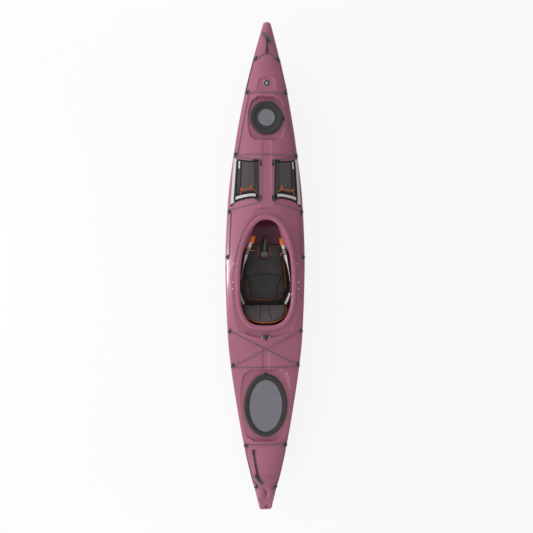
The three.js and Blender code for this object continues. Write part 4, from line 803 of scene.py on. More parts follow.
def corner_arc(before, here, after, radius, samples, share=0.48, weight=None):
    """Rounds one corner of a line in an arc, or in a parabola when the weight is 1."""
    into, out = before - here, after - here
    a, b = np.linalg.norm(into), np.linalg.norm(out)
    reach = min(radius, a * share, b * share)
    start, end = here + into / a * reach, here + out / b * reach
    weight = weight or math.cos(turn_of(into, out) / 2)
    made = []
    for s in np.linspace(0, 1, samples):
        low = (1 - s) ** 2 + 2 * s * (1 - s) * weight + s * s
        made.append(((1 - s) ** 2 * start + 2 * s * (1 - s) * weight * here + s * s * end) / low)
    return made


def rounded_profile(corners, radius_steps=4):
    """Rounds the corners of a closed profile. Each corner is inset, height, hook share and radius."""
    flat, made = [np.array(corner[:2], float) for corner in corners], []
    for i, (_, _, hooked, radius) in enumerate(corners):
        arc = corner_arc(flat[i - 1], flat[i], flat[(i + 1) % len(flat)], radius, radius_steps + 1)
        made += [(*point, hooked) for point in arc]
    return made


coaming_profile = rounded_profile([
    (0, -RIM_THICK, 0, 4), (0, -3, 0, 6), (RIM_BAND / 2, 3.2, 0, 14), (RIM_BAND, -3, 0, 9),
    (RIM_BAND + 1.5, -14, 0.15, 6), (RIM_BAND, -RISER_DROP / 2 - 6, 0.62, 6), (RIM_BAND, -RISER_DROP, 1, 3),
    (RIM_BAND - RISER_WALL, -RISER_DROP, 1, 3), (RIM_BAND - RISER_WALL, -RIM_THICK, 0, 6)])
COAMING_STEPS = 360
angles = around(COAMING_STEPS)
_, outer_y = coaming_point(angles, 0)
profile_rings = []
for inset, height, hooked in coaming_profile:
    x, y = coaming_point(angles, inset + hooked * thigh_hook(outer_y))
    profile_rings.append(np.stack([x, y, rim_z(y) + height], axis=1))
coaming_points = np.array(profile_rings)
coaming_faces = grid_faces(len(profile_rings), COAMING_STEPS, wrap_rows=True, wrap_columns=True)
coaming = mesh_piece("coaming_rim", coaming_points.reshape(-1, 3), coaming_faces, hull_finish)
fit(facing_out(coaming), "hull", "hull_plastic", "coaming")
print("coaming points:", coaming_points.shape)

# %% [markdown]
# ## Hatch covers
# Each hatch is a neck with a soft rubber cover stretched over its lip and a stiff panel let into the cover.
# The cover's edge is a fat bead, because that is the part that fingers peel off, and it has a pull tab.
# Inside the bead runs a groove, then the flat web. All of it is one profile, carried round an oval.

# %% Hatches
def oval_piece(name, place, profile, material, closed=False):
    """A lid from a profile of insets and heights, or a loop when the profile is closed."""
    made = []
    for inset, height in profile:
        outline = oval_outline(place, inset, 144)
        made.append(np.column_stack([outline, np.full(len(outline), place["floor"] + height)]))
    return loft(name, made, material, loop=closed, capped=not closed)


def soft_profile(points, radius_steps=3):
    """An open profile with rounded corners, from inset, height and radius."""
    flat, made = [np.array(point[:2], float) for point in points], [points[0][:2]]
    for i in range(1, len(points) - 1):
        arc = corner_arc(*flat[i - 1:i + 2], points[i][2], radius_steps + 1, weight=1)
        made += [tuple(point) for point in arc]
    return made + [points[-1][:2]]


def rounded_ring(corners):
    return [(x, z) for x, z, _ in rounded_profile([(x, z, 0, 1.2) for x, z in corners], 2)]


def pull_tab(name, place, turn):
    """A tongue on the bead with three ribs for the fingers, pointing along +X and then turned."""
    start = (place["wide"] if turn == 0 else place["long"]) - 8
    c, s = np.cos(around(24)), np.sin(around(24))
    rings_ = []
    for t in np.linspace(0, 1, 15):
        half = 17 * math.sqrt(max(1 - max((t - 0.72) / 0.3, 0) ** 2, 0.02))
        thick_ = 3 + 0.7 * math.cos(t * math.pi * 6) * (0.35 < t < 0.98)
        section = [half * powered(c, 0.5), 13 + thick_ * powered(s, 0.7)]
        rings_.append(np.column_stack([np.full(24, start + 20 * t), *section]))
    tab = loft(name, rings_, rubber)
    shift = Matrix.Translation((0, place["y"] * MM, place["floor"] * MM))
    tab.data.transform(shift @ Matrix.Rotation(turn, 4, "Z"))
    return tab


def hatch(label, place, tab_turn, body):
    """Cover, panel and neck of one hatch. The tab points to starboard, or to the bow when it is turned."""
    inset = place["panel"]
    cover = oval_piece(f"{label}_hatch_rubber_cover", place, soft_profile([
        (23.7, 13.3, 0), (23.7, 4.6, 1), (6, 4.6, 2), (0, 10.6, 3), (0, 15, 3), (3, 24, 4), (12, 27, 6),
        (22, 26.2, 3), (26, 23.6, 1.5), (29, 26.0, 1.5), (33, 25, 3), (37.5, 19, 2), (inset - 7, 19, 1),
        (inset - 5, 20.6, 1), (inset - 1.4, 20.6, 1), (inset - 0.3, 19, 0.6), (inset - 0.3, 16.5, 0)
    ]), rubber)
    cover = join(f"{label}_hatch_rubber_cover", [cover, pull_tab(f"{label}_hatch_pull_tab", place, tab_turn)])
    fit(cover, body, "hatch_rubber", f"{label}_hatch_cover")
    panel = oval_piece(f"{label}_hatch_inset_panel", place, soft_profile([
        (inset, 16.8, 0), (inset, 20.8, 0.8), (inset + 1.6, 21.4, 0.8), (inset + 6, 21.4, 1.5),
        (inset + 9, 20.4, 1.5), (inset + 12, 20.4, 0)]), panel_grey)
    fit(panel, body, "hatch_panel_plastic", f"{label}_hatch_panel")
    neck = oval_piece(f"{label}_hatch_neck", place, rounded_ring([
        (27.3, -16), (27.3, 0.3), (10, 0.3), (10, 4.3), (24, 4.3), (24, 13), (31.3, 13), (31.3, -16)]),
        nylon, closed=True)
    fit(neck, "hull", "black_nylon", f"{label}_hatch_rim")
    return cover, panel, neck


bow_pieces = hatch("bow", BOW_HATCH, 0.0, "bow_hatch_lid")
stern_pieces = hatch("stern", STERN_HATCH, math.pi / 2, "stern_hatch_lid")
print("hatches:", [o.name for o in bow_pieces + stern_pieces])

# %% [markdown]
# ## Frames on the deck
# A fitting sits square on the deck that carries it: its z axis leaves the surface and its y axis runs along
# the gunwale. Working that out from the surface itself, as the CAD did, puts each detailed fitting exactly
# where its solid is. The table gives the places of the side eyes along the boat.

# %% Deck frames
EYE_PLACES = {
    "bow_tip": 0.42887, "bow": 0.3622, "bag": 0.23648, "cockpit_fore": 0.11837, "cockpit_mid": 0.0252,
    "cockpit_aft": -0.12913, "aft": -0.2, "stern": -0.36693, "stern_tip": -0.45249}
EYE_INSET = 22.0
UP = np.array([0, 0, 1.0])


def axes(across, run, out, place=(0, 0, 0)):
    """A 4 by 4 frame from its three axes and its place."""
    made = np.eye(4)
    made[:3] = np.column_stack([across, run, out, place])
    return made


def deck_frame(x, y, along_gunwale=True, height=plain_deck, step=1.0):
    """A frame that stands square on the deck, in millimetres."""
    slope_x = (height(x + step, y) - height(x - step, y)) / (2 * step)
    slope_y = (height(x, y + step) - height(x, y - step)) / (2 * step)
    out = unit(np.array([-slope_x, -slope_y, 1.0]))
    edge = (half_beam(y + 1.0) - half_beam(y - 1.0)) / 2 * np.sign(x)
    run = np.array([edge if along_gunwale else 0.0, 1.0, 0.0])
    run = unit(run - out * run.dot(out))
    return axes(np.cross(run, out), run, out, (x, y, height(x, y)))


def through(matrix, point):
    return (matrix @ np.array([*point, 1.0]))[:3]


def moved_to(matrix, piece):
    """Moves a piece from the origin on to a frame in millimetres."""
    made = matrix.copy()
    made[:3, 3] *= MM
    piece.data.transform(Matrix(made.tolist()))
    return piece


def eye_frame(name, side):
    y = EYE_PLACES[name] * HULL_LENGTH
    return deck_frame(side * (half_beam(y) - EYE_INSET), y)


BOW_EYE = deck_frame(0.0, 0.44042 * HULL_LENGTH, False)
STERN_EYE = deck_frame(-97.0, -0.379 * HULL_LENGTH, False)
REAR_HOOK = deck_frame(0.0, -534.0, False)
print("eyes on each side:", len(EYE_PLACES))

# %% [markdown]
# ## Pad eyes
# A pad eye is a nylon strap with two screwed feet and an arch between them that a cord runs under. Seen
# close, the arch is a flat band that thickens into the feet, and each foot holds a pan-head screw with a
# cross recess. One function makes every kind, and the common eye is copied to its eighteen places.

# %% Pad eyes
ARCH_REACH, ARCH_RISE = 12.2, 10.6
SCREW_PROFILE = ((0.99, 0), (1, 0.35), (0.9, 0.72), (0.62, 0.93), (0.3, 1.0), (0.06, 1.0))


def flat_section(half_width, half_thick, steps=20, square=0.5):
    """A rounded oblong as offsets across and up."""
    c, s = (powered(f(around(steps)), square) for f in (np.cos, np.sin))
    return np.stack([half_width * c, half_thick * s], axis=1)


def arch(name, length, width):
    """Foot plate and arch of an eye, along y and standing on z = 0. A long one has its screws."""
    half, plate, band = length / 2, [], []
    for t in np.linspace(-1, 1, 25):
        wide = width / 2 * (1 - max(abs(t) - 0.62, 0) ** 2 / 0.38**2 * 0.96) ** 0.5
        section = flat_section(wide, 1.9 - 0.5 * abs(t) ** 6, 20, 0.6)
        plate.append([(u, t * half, 1.1 + v) for u, v in section])
    for a in np.linspace(-0.12, math.pi + 0.12, 25):
        c, s = math.cos(a), math.sin(a)
        out_y, out_z = unit(np.array([-c / ARCH_REACH, s / ARCH_RISE]))
        section = flat_section(width / 2 * (0.80 + 0.14 * abs(c) ** 3), 1.55 + 0.9 * abs(c) ** 4, 20, 0.6)
        band.append([(u, v * out_y - c * ARCH_REACH, 1.6 + s * ARCH_RISE + v * out_z) for u, v in section])
    body = [loft(name + "_plate", plate, nylon), loft(name + "_band", band, nylon)]
    for end in (-1, 1) if length > 45 else ():
        body += screw(name + "_screw", (0, end * (half - 6.6), 2.6))
    return join(name, body)


def screw(name, place, radius=3.7, material=steel):
    """A pan-head screw with a cross recess."""
    place = np.array(place, float)
    rings_ = [ellipse(place + 1.7 * z * UP, (radius * r, 0, 0), (0, radius * r, 0), 20)
              for r, z in SCREW_PROFILE]
    parts = [loft(name, rings_, material)]
    for turn in (0.4, 0.4 + math.pi / 2):
        c, s = math.cos(turn), math.sin(turn)
        bar = [[place + (c * u - s * v, s * u + c * v, 1.73 + w)
                for v, w in ((-0.45, -0.3), (0.45, -0.3), (0.45, 0.05), (-0.45, 0.05))] for u in (-2.0, 2.0)]
        parts.append(loft(name + "_slot", bar, nylon))
    return parts


def eye_at(name, matrix, node, model):
    copy = added(name, model.data.copy())
    return fit(moved_to(matrix, copy), "hull", "black_nylon", node)


eye_model = arch("pad_eye_model", 46, 15)
for label, side in SIDES:
    for place in EYE_PLACES:
        eye_at(f"{place}_eye_{label}", eye_frame(place, side), f"pad_eye_{place}_{label}", eye_model)
small_eye = arch("small_eye_model", 34, 12)
round_eye = arch("round_eye_model", 38, 22)
hook_model = arch("rear_hook_model", 62, 20)
quarter_turn = np.array(Matrix.Rotation(math.pi / 2, 4, "Z"))
eye_at("bow_toggle_deck_eye", BOW_EYE, "bow_toggle_eye", small_eye)
eye_at("stern_toggle_deck_eye", STERN_EYE, "stern_toggle_eye", round_eye)
eye_at("rear_hook_on_deck", REAR_HOOK @ quarter_turn, "rear_deck_hook", hook_model)
for model in (eye_model, small_eye, round_eye, hook_model):
    bpy.data.objects.remove(model)
print("pad eyes placed:", len(EYE_PLACES) * 2 + 3)

# %% [markdown]
# ## The routes of the deck lines
# Every line is one cord laced from eye to eye. Its route is a list of the eyes it meets and how it passes
# them: ended in a knot, passed through, or turned back around one leg. Between eyes it lies on the deck.
# The lines are pulled tight, so they have no slack to sag, and their corners are as round as the cord allows.

# %% Cord routes
CORD_R, CORD_THICK, CORD_LIFT, CORD_RISE = 2.5, 3.0, 1.4, 2.5 + 1 + 0.4
LANE, TURN, REACH, BEND, OVER_RISE = 5.7, 18.0, 16.0, 9.0, 5.8
SHORT_STEP, RUN_STEP = 55.0, 130.0
BAG_FORE_Y, BAG_AFT_Y, BAG_CORD_X = 0.21811 * HULL_LENGTH, 0.14068 * HULL_LENGTH, 57.0


def on_deck(x, y, lift):
    """A point above the plain deck."""
    return np.array([x, y, plain_deck(x, y) + lift])


def at_eye(name, side, out, lane=0.0, radius=CORD_R):
    return through(eye_frame(name, side), (side * out, lane, CORD_RISE + radius))


def lay(a, b, radius=CORD_R):
    """Points between two places, lying on the deck."""
    steps = math.ceil(max(abs(b[0] - a[0]) / SHORT_STEP, abs(b[1] - a[1]) / RUN_STEP, 1))
    return [on_deck(a[0] + (b[0] - a[0]) * t, a[1] + (b[1] - a[1]) * t, radius + CORD_LIFT)
            for t in np.linspace(0, 1, steps + 1)[1:-1]]


def cord_over(stretches):
    """Joins stretches of a cord. The deck carries it between them."""
    made = []
    for stretch, following in zip(stretches, stretches[1:] + [None]):
        made += stretch
        if following:
            made += lay(stretch[-1], following[0])
    return made


def passed(name, side, lane, outward=True):
    return [at_eye(name, side, end * REACH, lane) for end in ((-1, 1) if outward else (1, -1))]


def turned(name, side, lane, end):
    return [at_eye(name, side, -REACH, lane), at_eye(name, side, REACH, lane),
            at_eye(name, side, REACH, end * TURN), at_eye(name, side, -REACH, end * TURN)]


def mirrored(side_route):
    """A route across the boat, from the half that runs from the middle to one side."""
    port = [stretch[::-1] for stretch in side_route(-1)[::-1]]
    return port, side_route(1)


def bow_line_route():
    def side(s):
        climb = at_eye("bow", s, -REACH - 5.5, -LANE, CORD_R + OVER_RISE)
        return [passed("bow_tip", s, 0), [*passed("bow", s, LANE, False), climb], passed("bag", s, LANE)]
    port, starboard = mirrored(side)
    middle = [through(BOW_EYE, (x, -LANE, CORD_RISE + CORD_R)) for x in (-REACH, REACH)]
    return cord_over([*port, middle, *starboard])


def cross_line_route(name, lane):
    return cord_over([passed(name, -1, lane)[::-1], passed(name, 1, lane)])


def fore_line_route():
    def side(s):
        beside = [[on_deck(s * BAG_CORD_X, y, CORD_R + CORD_LIFT)]
                  for y in (BAG_FORE_Y + REACH, BAG_AFT_Y - REACH)]
        return [turned("bag", s, -LANE, -1), *beside, turned("cockpit_fore", s, 0, 1)[::-1],
                passed("cockpit_mid", s, 0)]
    port, starboard = mirrored(side)
    return cord_over([*port, *starboard])


def side_line_route(side):
    start, end = passed("stern", side, -LANE)[::-1], passed("stern_tip", side, 0)
    between = np.linspace(start[-1][1], end[0][1], 9)[1:-1]
    return [*start, *(on_deck(side * (half_beam(y) - 5), y, CORD_R + 0.6) for y in between), *end]


def crossed_route():
    start, end = passed("cockpit_aft", -1, -LANE)[::-1], passed("cockpit_aft", 1, -LANE)
    port, starboard = turned("aft", -1, 0, -1), turned("aft", 1, 0, -1)
    low, high = lay(start[1], starboard[0]), lay(port[0], end[0])
    for point in high:
        point[2] += OVER_RISE * (1 - min(abs(point[0]) / 165, 1)) ** 0.5
    return [*start, *low, *starboard, *lay(starboard[3], port[3]), *port[::-1], *high, *end]


def rounded_line(points, bend=BEND, samples=7):
    """Turns the corners of a line into arcs. A shallow corner gets a long arc, which hides its steps."""
    made = [points[0]]
    for before, here, after in zip(points, points[1:], points[2:]):
        radius = bend if turn_of(before - here, after - here) > 0.6 else 60
        made += corner_arc(before, here, after, radius, samples, 0.498)
    made.append(points[-1])
    kept = [made[0]]
    for point in made[1:]:
        if np.linalg.norm(point - kept[-1]) > 0.4:
            kept.append(point)
    return np.array(kept)


def tube(name, line, radius, material, sides=10):
    """A round cord along a dense line, with its UV map in metres along u."""
    line = np.asarray(line, float)
    runs = directions(line)
    side = unit(np.cross(runs[0], (0.03, 0.05, 1.0)))
    rings_ = []
    for point, run in zip(line, runs):
        side = unit(side - run * side.dot(run))
        rings_.append(ellipse(point, radius * side, radius * np.cross(run, side), sides))
    return loft(name, rings_, material)


def knot(name, place, run, size, material):
    """An overhand knot pulled tight: a cord wound on itself, with a short tail."""
    t = np.linspace(0, 2 * np.pi, 60)
    flat = np.stack([np.sin(t) + 2 * np.sin(2 * t), np.cos(t) - 2 * np.cos(2 * t), -1.4 * np.sin(3 * t)])
    run = unit(np.asarray(run, float))
    side = unit(np.cross(run, (0.1, 0.2, 1.0)))
    turn = np.stack([side, np.cross(run, side), run])
    return tube(name, place + (flat.T * size / 3) @ turn * 0.78, size * 0.36, material, 8)


def deck_line(name, route, body="hull", radius=CORD_R, material=deck_cord, slot="deck_cord", end="knot"):
    line, on_it = rounded_line([np.asarray(p, float) for p in route]), []
    piece = fit(tube(name + "_cord", line, radius, material), body, slot, name)
    if end == "knot":
        knots = [knot(f"{name}_knot", place, nearer - place, 5.4, material)
                 for place, nearer in ((line[0], line[2]), (line[-1], line[-3]))]
        on_it = [fit(join(f"{name}_knots", knots), body, slot)]


deck_line("bow_line", bow_line_route())
deck_line("bow_cross_line", cross_line_route("bow", -LANE))
deck_line("fore_deck_line", fore_line_route())
deck_line("crossed_shock_cord", crossed_route())
deck_line("stern_cross_line", cross_line_route("stern", LANE))
for label, side in SIDES:
    deck_line(f"aft_side_line_{label}", side_line_route(side))

# %% [markdown]
# ## Webbing
# Straps are flat, so they bend easily one way and twist rather than bend the other way. Each is a ribbon
# along a few stations that give its middle and its turn. The finish changes along it where the real strap
# changes: an orange pull tab at the front, light webbing, a black sleeve beside the hip, light webbing again.

# %% Ribbons
def dense_line(points, step=4.0):
    """A smooth line through points, sampled closely. It never overshoots them."""
    points = np.asarray(points, float)
    run = run_of(points[:, :3])
    wanted = np.linspace(0, run[-1], max(int(run[-1] / step), 8))
    return np.stack([curve_through(run, points[:, i])(wanted) for i in range(points.shape[1])], axis=1)


def across_of(run, turn):
    """The direction across a strap that runs one way and is turned by some degrees."""
    flat = unit(np.array([1.0, 0, 0]) - run * run[0])
    return np.array(Matrix.Rotation(math.radians(turn), 3, Vector(run)) @ Vector(flat))


def ribbon(name, stations, width, thickness, finishes):
    """A strap along stations (x, y, z, turn in degrees). finishes are (end share, material) in order."""
    line = dense_line(stations)
    middle = line[:, :3]
    lengths = run_of(middle)
    section = flat_section(width / 2, thickness / 2, 16, 0.35)
    points, uv = [], []
    for point, run, turn, length in zip(middle, directions(middle), line[:, 3], lengths):
        flat = across_of(run, turn)
        face = np.cross(run, flat)
        for u, v in section:
            points.append(point + flat * u + face * v)
            uv.append((length * MM, (u + width / 2) * MM))
    count, sides = len(middle), len(section)
    faces = grid_faces(count, sides, wrap_columns=True).tolist()
    faces += [list(range(sides))[::-1], [(count - 1) * sides + i for i in range(sides)]]
    piece = mesh_piece(name, points, faces, None, uv=np.array(uv))
    ends = [share for share, _ in finishes]
    for _, material in finishes:
        piece.data.materials.append(material)
    rows = [*np.repeat(np.arange(count - 1), sides), 0, count - 2]
    for polygon, row in zip(piece.data.polygons, rows):
        share = lengths[row] / lengths[-1]
        polygon.material_index = int(min(np.searchsorted(ends, share), len(ends) - 1))
    return facing_out(piece)


STRAP_STATIONS = [
    (104, 256, 306, 10), (116, 215, 298.5, 15), (134, 164, 293, 20), (146, 129, 291, 30),
    (161, 80, 287, 50), (178, 13, 276, 78), (192, -58, 261, 88), (202, -123, 245, 86),
    (203, -171, 228.5, 77), (190, -231, 198.5, 63), (168, -285, 170, 54)]


def rounded_bar(name, a, b, half_width, half_thick, up_, material):
    """A straight moulded bar with soft ends."""
    a, b, up_ = (np.asarray(p, float) for p in (a, b, up_))
    run = unit(b - a)
    side = unit(np.cross(run, up_))
    face = np.cross(side, run)
    length = np.linalg.norm(b - a)
    section = flat_section(half_width, half_thick, 16, 0.55)
    rings_ = []
    for t in (0, 0.02, 0.08, 0.2, 0.5, 0.8, 0.92, 0.98, 1):
        away = min(min(t, 1 - t) * length / half_thick, 1)
        grow = max(math.sqrt(1 - (1 - away) ** 2), 0.35)
        rings_.append([a + run * length * t + side * u * grow + face * v * grow for u, v in section])
    return loft(name, rings_, material)


def ladder_lock(name, matrix, width, length, thick_, material):
    """A ladder-lock buckle: two rails, three bars that grip the webbing, and five ribs for the thumb."""
    end = length / 2
    bars = [(x, -end, x, end, 0, 2.4, thick_ / 2) for x in (2.2 - width / 2, width / 2 - 2.2)]
    bars += [(1 - width / 2, y, width / 2 - 1, y, z, wide, thick) for y, z, wide, thick in (
        (3 - end, 3.4, 3.6, 2.2), (-1, 3.8, 4.2, 2.2), (end - 4, 3.4, 5.0, 2.4))]
    bars += [(x, end - 7, x, end - 1, 3.8, 0.9, 0.8) for x in np.linspace(7 - width / 2, width / 2 - 7, 5)]
    top = 1 if matrix[2, 2] > 0 else -1
    return join(name, [
        rounded_bar(name, through(matrix, (x0, y0, top * z)), through(matrix, (x1, y1, top * z)),
                    wide, thick, matrix[:3, 2], material)
        for x0, y0, x1, y1, z, wide, thick in bars])


def frame_on(stations, i):
    """A frame in the middle of one stretch of a strap."""
    a, b = np.array(stations[i][:3], float), np.array(stations[i + 1][:3], float)
    run = unit(b - a)
    flat = across_of(run, (stations[i][3] + stations[i + 1][3]) / 2)
    return axes(flat, run, np.cross(flat, run), (a + b) / 2)


STRAP_SHIFTS = {"left": [(0, 0)] * 11, "right": [(19, -18), (13, -8), (7, -2), (3, 0)] + [(0, 0)] * 7}
TABS = {"left": [(97, 262, 300, 8), (99, 252, 309, 9), (104, 228, 308.6, 12), (109, 203, 307.2, 15)],
        "right": [(117, 245, 299, 8), (119, 236, 307, 9), (122, 214, 306, 12), (126, 190, 304, 15)]}
ADJUSTERS = {
    "left": [(134, 172, 303), (141, 160, 303), (132, 149, 304), (112, 147, 304), (90, 146, 302)],
    "right": [(150, 150, 300), (145, 140, 302), (134, 136, 303), (124, 128, 302), (118, 118, 300),
              (115, 104, 296)]}
STRAP_FINISHES = [(0.08, orange_strap), (0.61, light_strap), (0.80, black_strap), (1.0, light_strap)]
for label, side in SIDES:
    stations = [(side * (x + dx), y + dy, z, side * turn)
                for (x, y, z, turn), (dx, dy) in zip(STRAP_STATIONS, STRAP_SHIFTS[label])]
    strap = ribbon(f"side_webbing_{label}", stations, 25, 2, STRAP_FINISHES)
    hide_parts(f"side_strap_{label}")
    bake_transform(strap)
    seat = frame_on(stations, 2)
    seat[:3, 3] += seat[:3, 1] * 8
    lock = ladder_lock(f"strap_ladder_lock_{label}", seat, 36, 44, 8, nylon)
    fit(lock, "hull", "black_nylon", f"strap_buckle_{label}")
    tab_line = [(side * x, y, z, side * turn) for x, y, z, turn in TABS[label]]
    tab = ribbon(f"orange_pull_tab_{label}", tab_line, 27, 2.2, [(1.0, orange_strap)])
    fit(tab, "hull", "light_webbing")
    adjuster = f"orange_adjuster_cord_{label}"
    line = rounded_line([np.array((side * x, y, z), float) for x, y, z in ADJUSTERS[label]])
    loop = fit(tube(adjuster, line, 2.4, orange_cord, 8), "hull", "deck_cord")
pull_loop = [(-140, 206, 304, -60), (-151, 196, 305, -60), (-152, 180, 303, -60), (-141, 168, 299, -60)]
fit(ribbon("orange_pull_loop", pull_loop, 8, 2, [(1.0, orange_strap)]), "hull", "light_webbing")

LIFTER = [
    (4, 126, 118.6, 0), (4, 144, 119.8, 0), (3, 168, 132, 4), (3, 196, 146, 6), (6, 222, 150, 6),
    (14, 246, 150, 4), (22, 264, 146, 0), (24, 274, 132, 0), (20, 262, 118, 0), (8, 222, 113, 0),
    (4, 150, 113, 0)]
lifter = ribbon("leg_lifter_webbing", LIFTER, 14, 3, [(0.52, grey_strap), (1.0, black_strap)])
fit(lifter, "hull", "black_webbing", "leg_lift_strap")
lifter_seat = np.eye(4)
lifter_seat[:3, 3] = (2, 120, 122)
fit(ladder_lock("leg_lifter_ladder_lock", lifter_seat, 54, 32, 8, grey_nylon), "hull",
    "hatch_panel_plastic", "leg_lift_buckle")
grip_ring = [(18 + 9 * math.sin(a), 262 + 16 * math.cos(a), 150) for a in np.linspace(0, 2 * math.pi, 40)]
fit(tube("leg_lifter_pull_ring", grip_ring, 5.0, nylon, 10), "hull", "black_webbing")

# %% [markdown]
# ## Seat fabrics
# The seat is foam under a coated fabric: nearly black, matt, with a fine plain weave that only shows close
# up. The back rest has a coarser, lighter cloth. The weave is made from two waves in the piece's own
# coordinates, because a remeshed pad has no UV map, and dust makes patches of the cover a little paler.

# %% Finish: seat cloth and mesh
def cloth_finish(name, colour, pitch, weave_depth, light):
    finish = Finish(name, Sheen_Weight=0.2, Sheen_Roughness=0.5, IOR=1.45)
    place = finish.place()
    x, y, _ = finish.parts(place)
    weave = x.ripple(pitch) * y.ripple(pitch) * 0.5 + 0.5
    fuzz = finish.noise(700, detail=2, at=place)
    dust = finish.noise(9, detail=4, roughness=0.6, at=place).between(0.42, 0.72)
    # The crowns of the weave are painted lighter and its valleys darker: painted highlight and painted shade.
    # The fuzz varies at random.
    base = finish.mix((weave * 0.7 + fuzz * 0.3), scaled(colour, 0.72), scaled(colour, 1.25))
    finish.feed("Base Color", finish.mix(dust * 0.35, base, light))
    finish.feed("Roughness", 0.88 - dust * 0.1 + fuzz * 0.06)
    finish.bump(weave * 0.8 + fuzz * 0.3, weave_depth, 0.6)
    return finish.material


def mesh_cloth(name, colour, hole, pitch=0.0032):
    """Warp-knit mesh: a net of small hexagonal holes, which are coloured darker than the threads."""
    finish = Finish(name, Sheen_Weight=0.15, IOR=1.45)
    u, v = finish.along_and_across()
    one, two, three = (wire.ripple(pitch) for wire in (u, u * 0.5 + v * 0.866, u * -0.5 + v * 0.866))
    net = (one + two + three).between(-0.84, 0.36)
    thread = finish.mix(finish.noise(14, detail=3), scaled(colour, 0.85), scaled(colour, 1.15))
    finish.feed("Base Color", finish.mix(net, hole, thread))
    finish.feed("Roughness", 0.9 - net * 0.15)
    finish.bump(net, 0.0006, 0.8)
    return finish.material


seat_cloth = cloth_finish("seat_cover_cloth", rgb(71, 67, 68), 0.0016, 0.0003, rgb(92, 88, 88))
back_cloth = cloth_finish("back_rest_cloth", rgb(88, 83, 83), 0.0030, 0.0006, rgb(108, 103, 103))
mesh_grey = mesh_cloth("bag_mesh_cloth", rgb(104, 97, 97), rgb(52, 47, 48))
light_panel = webbing("light_bag_fabric", rgb(238, 231, 231), rgb(210, 202, 202), ribs=0.0012)
dark_panel = cloth_finish("dark_bag_fabric", rgb(66, 61, 62), 0.0020, 0.0003, rgb(88, 83, 83))
binding = webbing("black_bag_binding", rgb(24, 23, 24), rgb(44, 42, 43), ribs=0.0011)
piping = braid("orange_piping", rgb(232, 104, 34), rgb(248, 136, 60), pitch=0.004)
thread = moulded("seat_thread", rgb(26, 25, 25), 0.7, grain=1500, depth=0.0001)
fabrics = (seat_cloth, back_cloth, mesh_grey, light_panel, dark_panel, binding, piping, thread)
print("fabrics:", [m.name for m in fabrics])

# %% [markdown]
# ## Padding with cloth
# A cover sewn over foam bulges between its seams and pulls in at its corners. Blender's cloth solver makes
# that shape: the block is remeshed evenly, blown up a little with no gravity, and how far a point may move
# is capped, so the pad can't leave the space that the CAD keeps for it. Seams are pressed in afterwards.

# %% Pads
def evaluated_points(obj):
    seen = obj.evaluated_get(bpy.context.evaluated_depsgraph_get())
    mesh = seen.to_mesh()
    points = np.zeros(len(mesh.vertices) * 3)
    mesh.vertices.foreach_get("co", points)
    seen.to_mesh_clear()
    return points.reshape(-1, 3)


def with_modifier(obj, kind, **settings):
    """Adds one modifier and applies it."""
    made = obj.modifiers.new(kind.lower(), kind)
    for key, value in settings.items():
        setattr(made, key, value)
    bpy.context.view_layer.objects.active = obj
    bpy.ops.object.modifier_apply(modifier=made.name)
    return obj


def cut_away(obj, tool):
    """Cuts a piece with another one, which then goes."""
    with_modifier(obj, "BOOLEAN", operation="DIFFERENCE", object=tool, solver="EXACT")
    bpy.data.objects.remove(tool)
def write_points(obj, points):
    obj.data.vertices.foreach_set("co", np.asarray(points, float).ravel())
    obj.data.update()


def padded(obj, voxel, cap, may_move, pressure=4.0):
    """Swells a closed block like a sewn pad. may_move(points) is how much of the cap each point gets."""
    with_modifier(obj, "REMESH", mode="VOXEL", voxel_size=voxel * MM)
    rest = evaluated_points(obj)
    cloth = obj.modifiers.new("pad", "CLOTH")
    cloth.settings.quality = 4
    cloth.settings.use_pressure = True
    cloth.settings.uniform_pressure_force = pressure
    cloth.settings.effector_weights.gravity = 0
    cloth.settings.tension_stiffness = cloth.settings.compression_stiffness = 18
    cloth.collision_settings.use_collision = False
    for frame_number in range(1, 21):
        bpy.context.scene.frame_set(frame_number)
    swollen = evaluated_points(obj)
    obj.modifiers.remove(cloth)
    bpy.context.scene.frame_set(1)
    move = swollen - rest
    size = np.linalg.norm(move, axis=1, keepdims=True) + 1e-12
    limit = cap * MM * may_move(rest / MM)[:, None]
    write_points(obj, rest + move * np.minimum(size, limit) / size)
    with_modifier(obj, "SUBSURF", levels=1)
    obj.data.polygons.foreach_set("use_smooth", np.ones(len(obj.data.polygons), bool))
    obj.data.update()
    return obj


def pressed(obj, depth_at, direction):
    """Presses seams into a pad along a direction."""
    points = evaluated_points(obj) / MM
    write_points(obj, (points - depth_at(points)[:, None] * np.asarray(direction)) * MM)
    return obj


STITCH_PITCH, STITCH_LONG = 5.0, 3.2
STITCH_LIFTS = (-0.5, 0.35, 0.35, -0.5)


def stitches(line, out):
    """A row of stitches along a line, each a short thread that dives into the cloth at both ends."""
    line = dense_line(line, 1.0)
    run = run_of(line)
    made = []
    for start in np.arange(STITCH_PITCH, run[-1] - STITCH_PITCH, STITCH_PITCH):
        at = start + STITCH_LONG * np.array([0, 0.25, 0.75, 1])
        spots = np.stack([np.interp(at, run, line[:, i]) for i in range(3)], axis=1)
        made.append(tube("stitch", spots + np.outer(STITCH_LIFTS, out), 0.55, thread, 5))
    return join("stitch", made)


def painted_seam_shade(line):
    """A dark tube in the valley of a seam: painted shade of the valley, which the coarse pad mesh can't show.
    """
    return tube("painted_seam_shade_tube", dense_line(line, 8.0), 2.0, thread, 8)


SEAT_FRONT, SEAT_REAR, PAN_WALL, GAP = 199.0, -257.0, 4.0, 0.3
SEAT_LONG = SEAT_FRONT - SEAT_REAR
seat_half = curve_through([SEAT_REAR - 32, SEAT_REAR, SEAT_REAR + 87, 0, SEAT_FRONT, SEAT_FRONT + 8],
                          [189 - 26, 189 - 16, 189, 172, 150, 150])
ARC_Y, ARC_BEND, NOTCH_HALF, NOTCH_DEPTH, EDGE_ROUND = -40.0, 42.0, 42.0, 104.0, 12.0


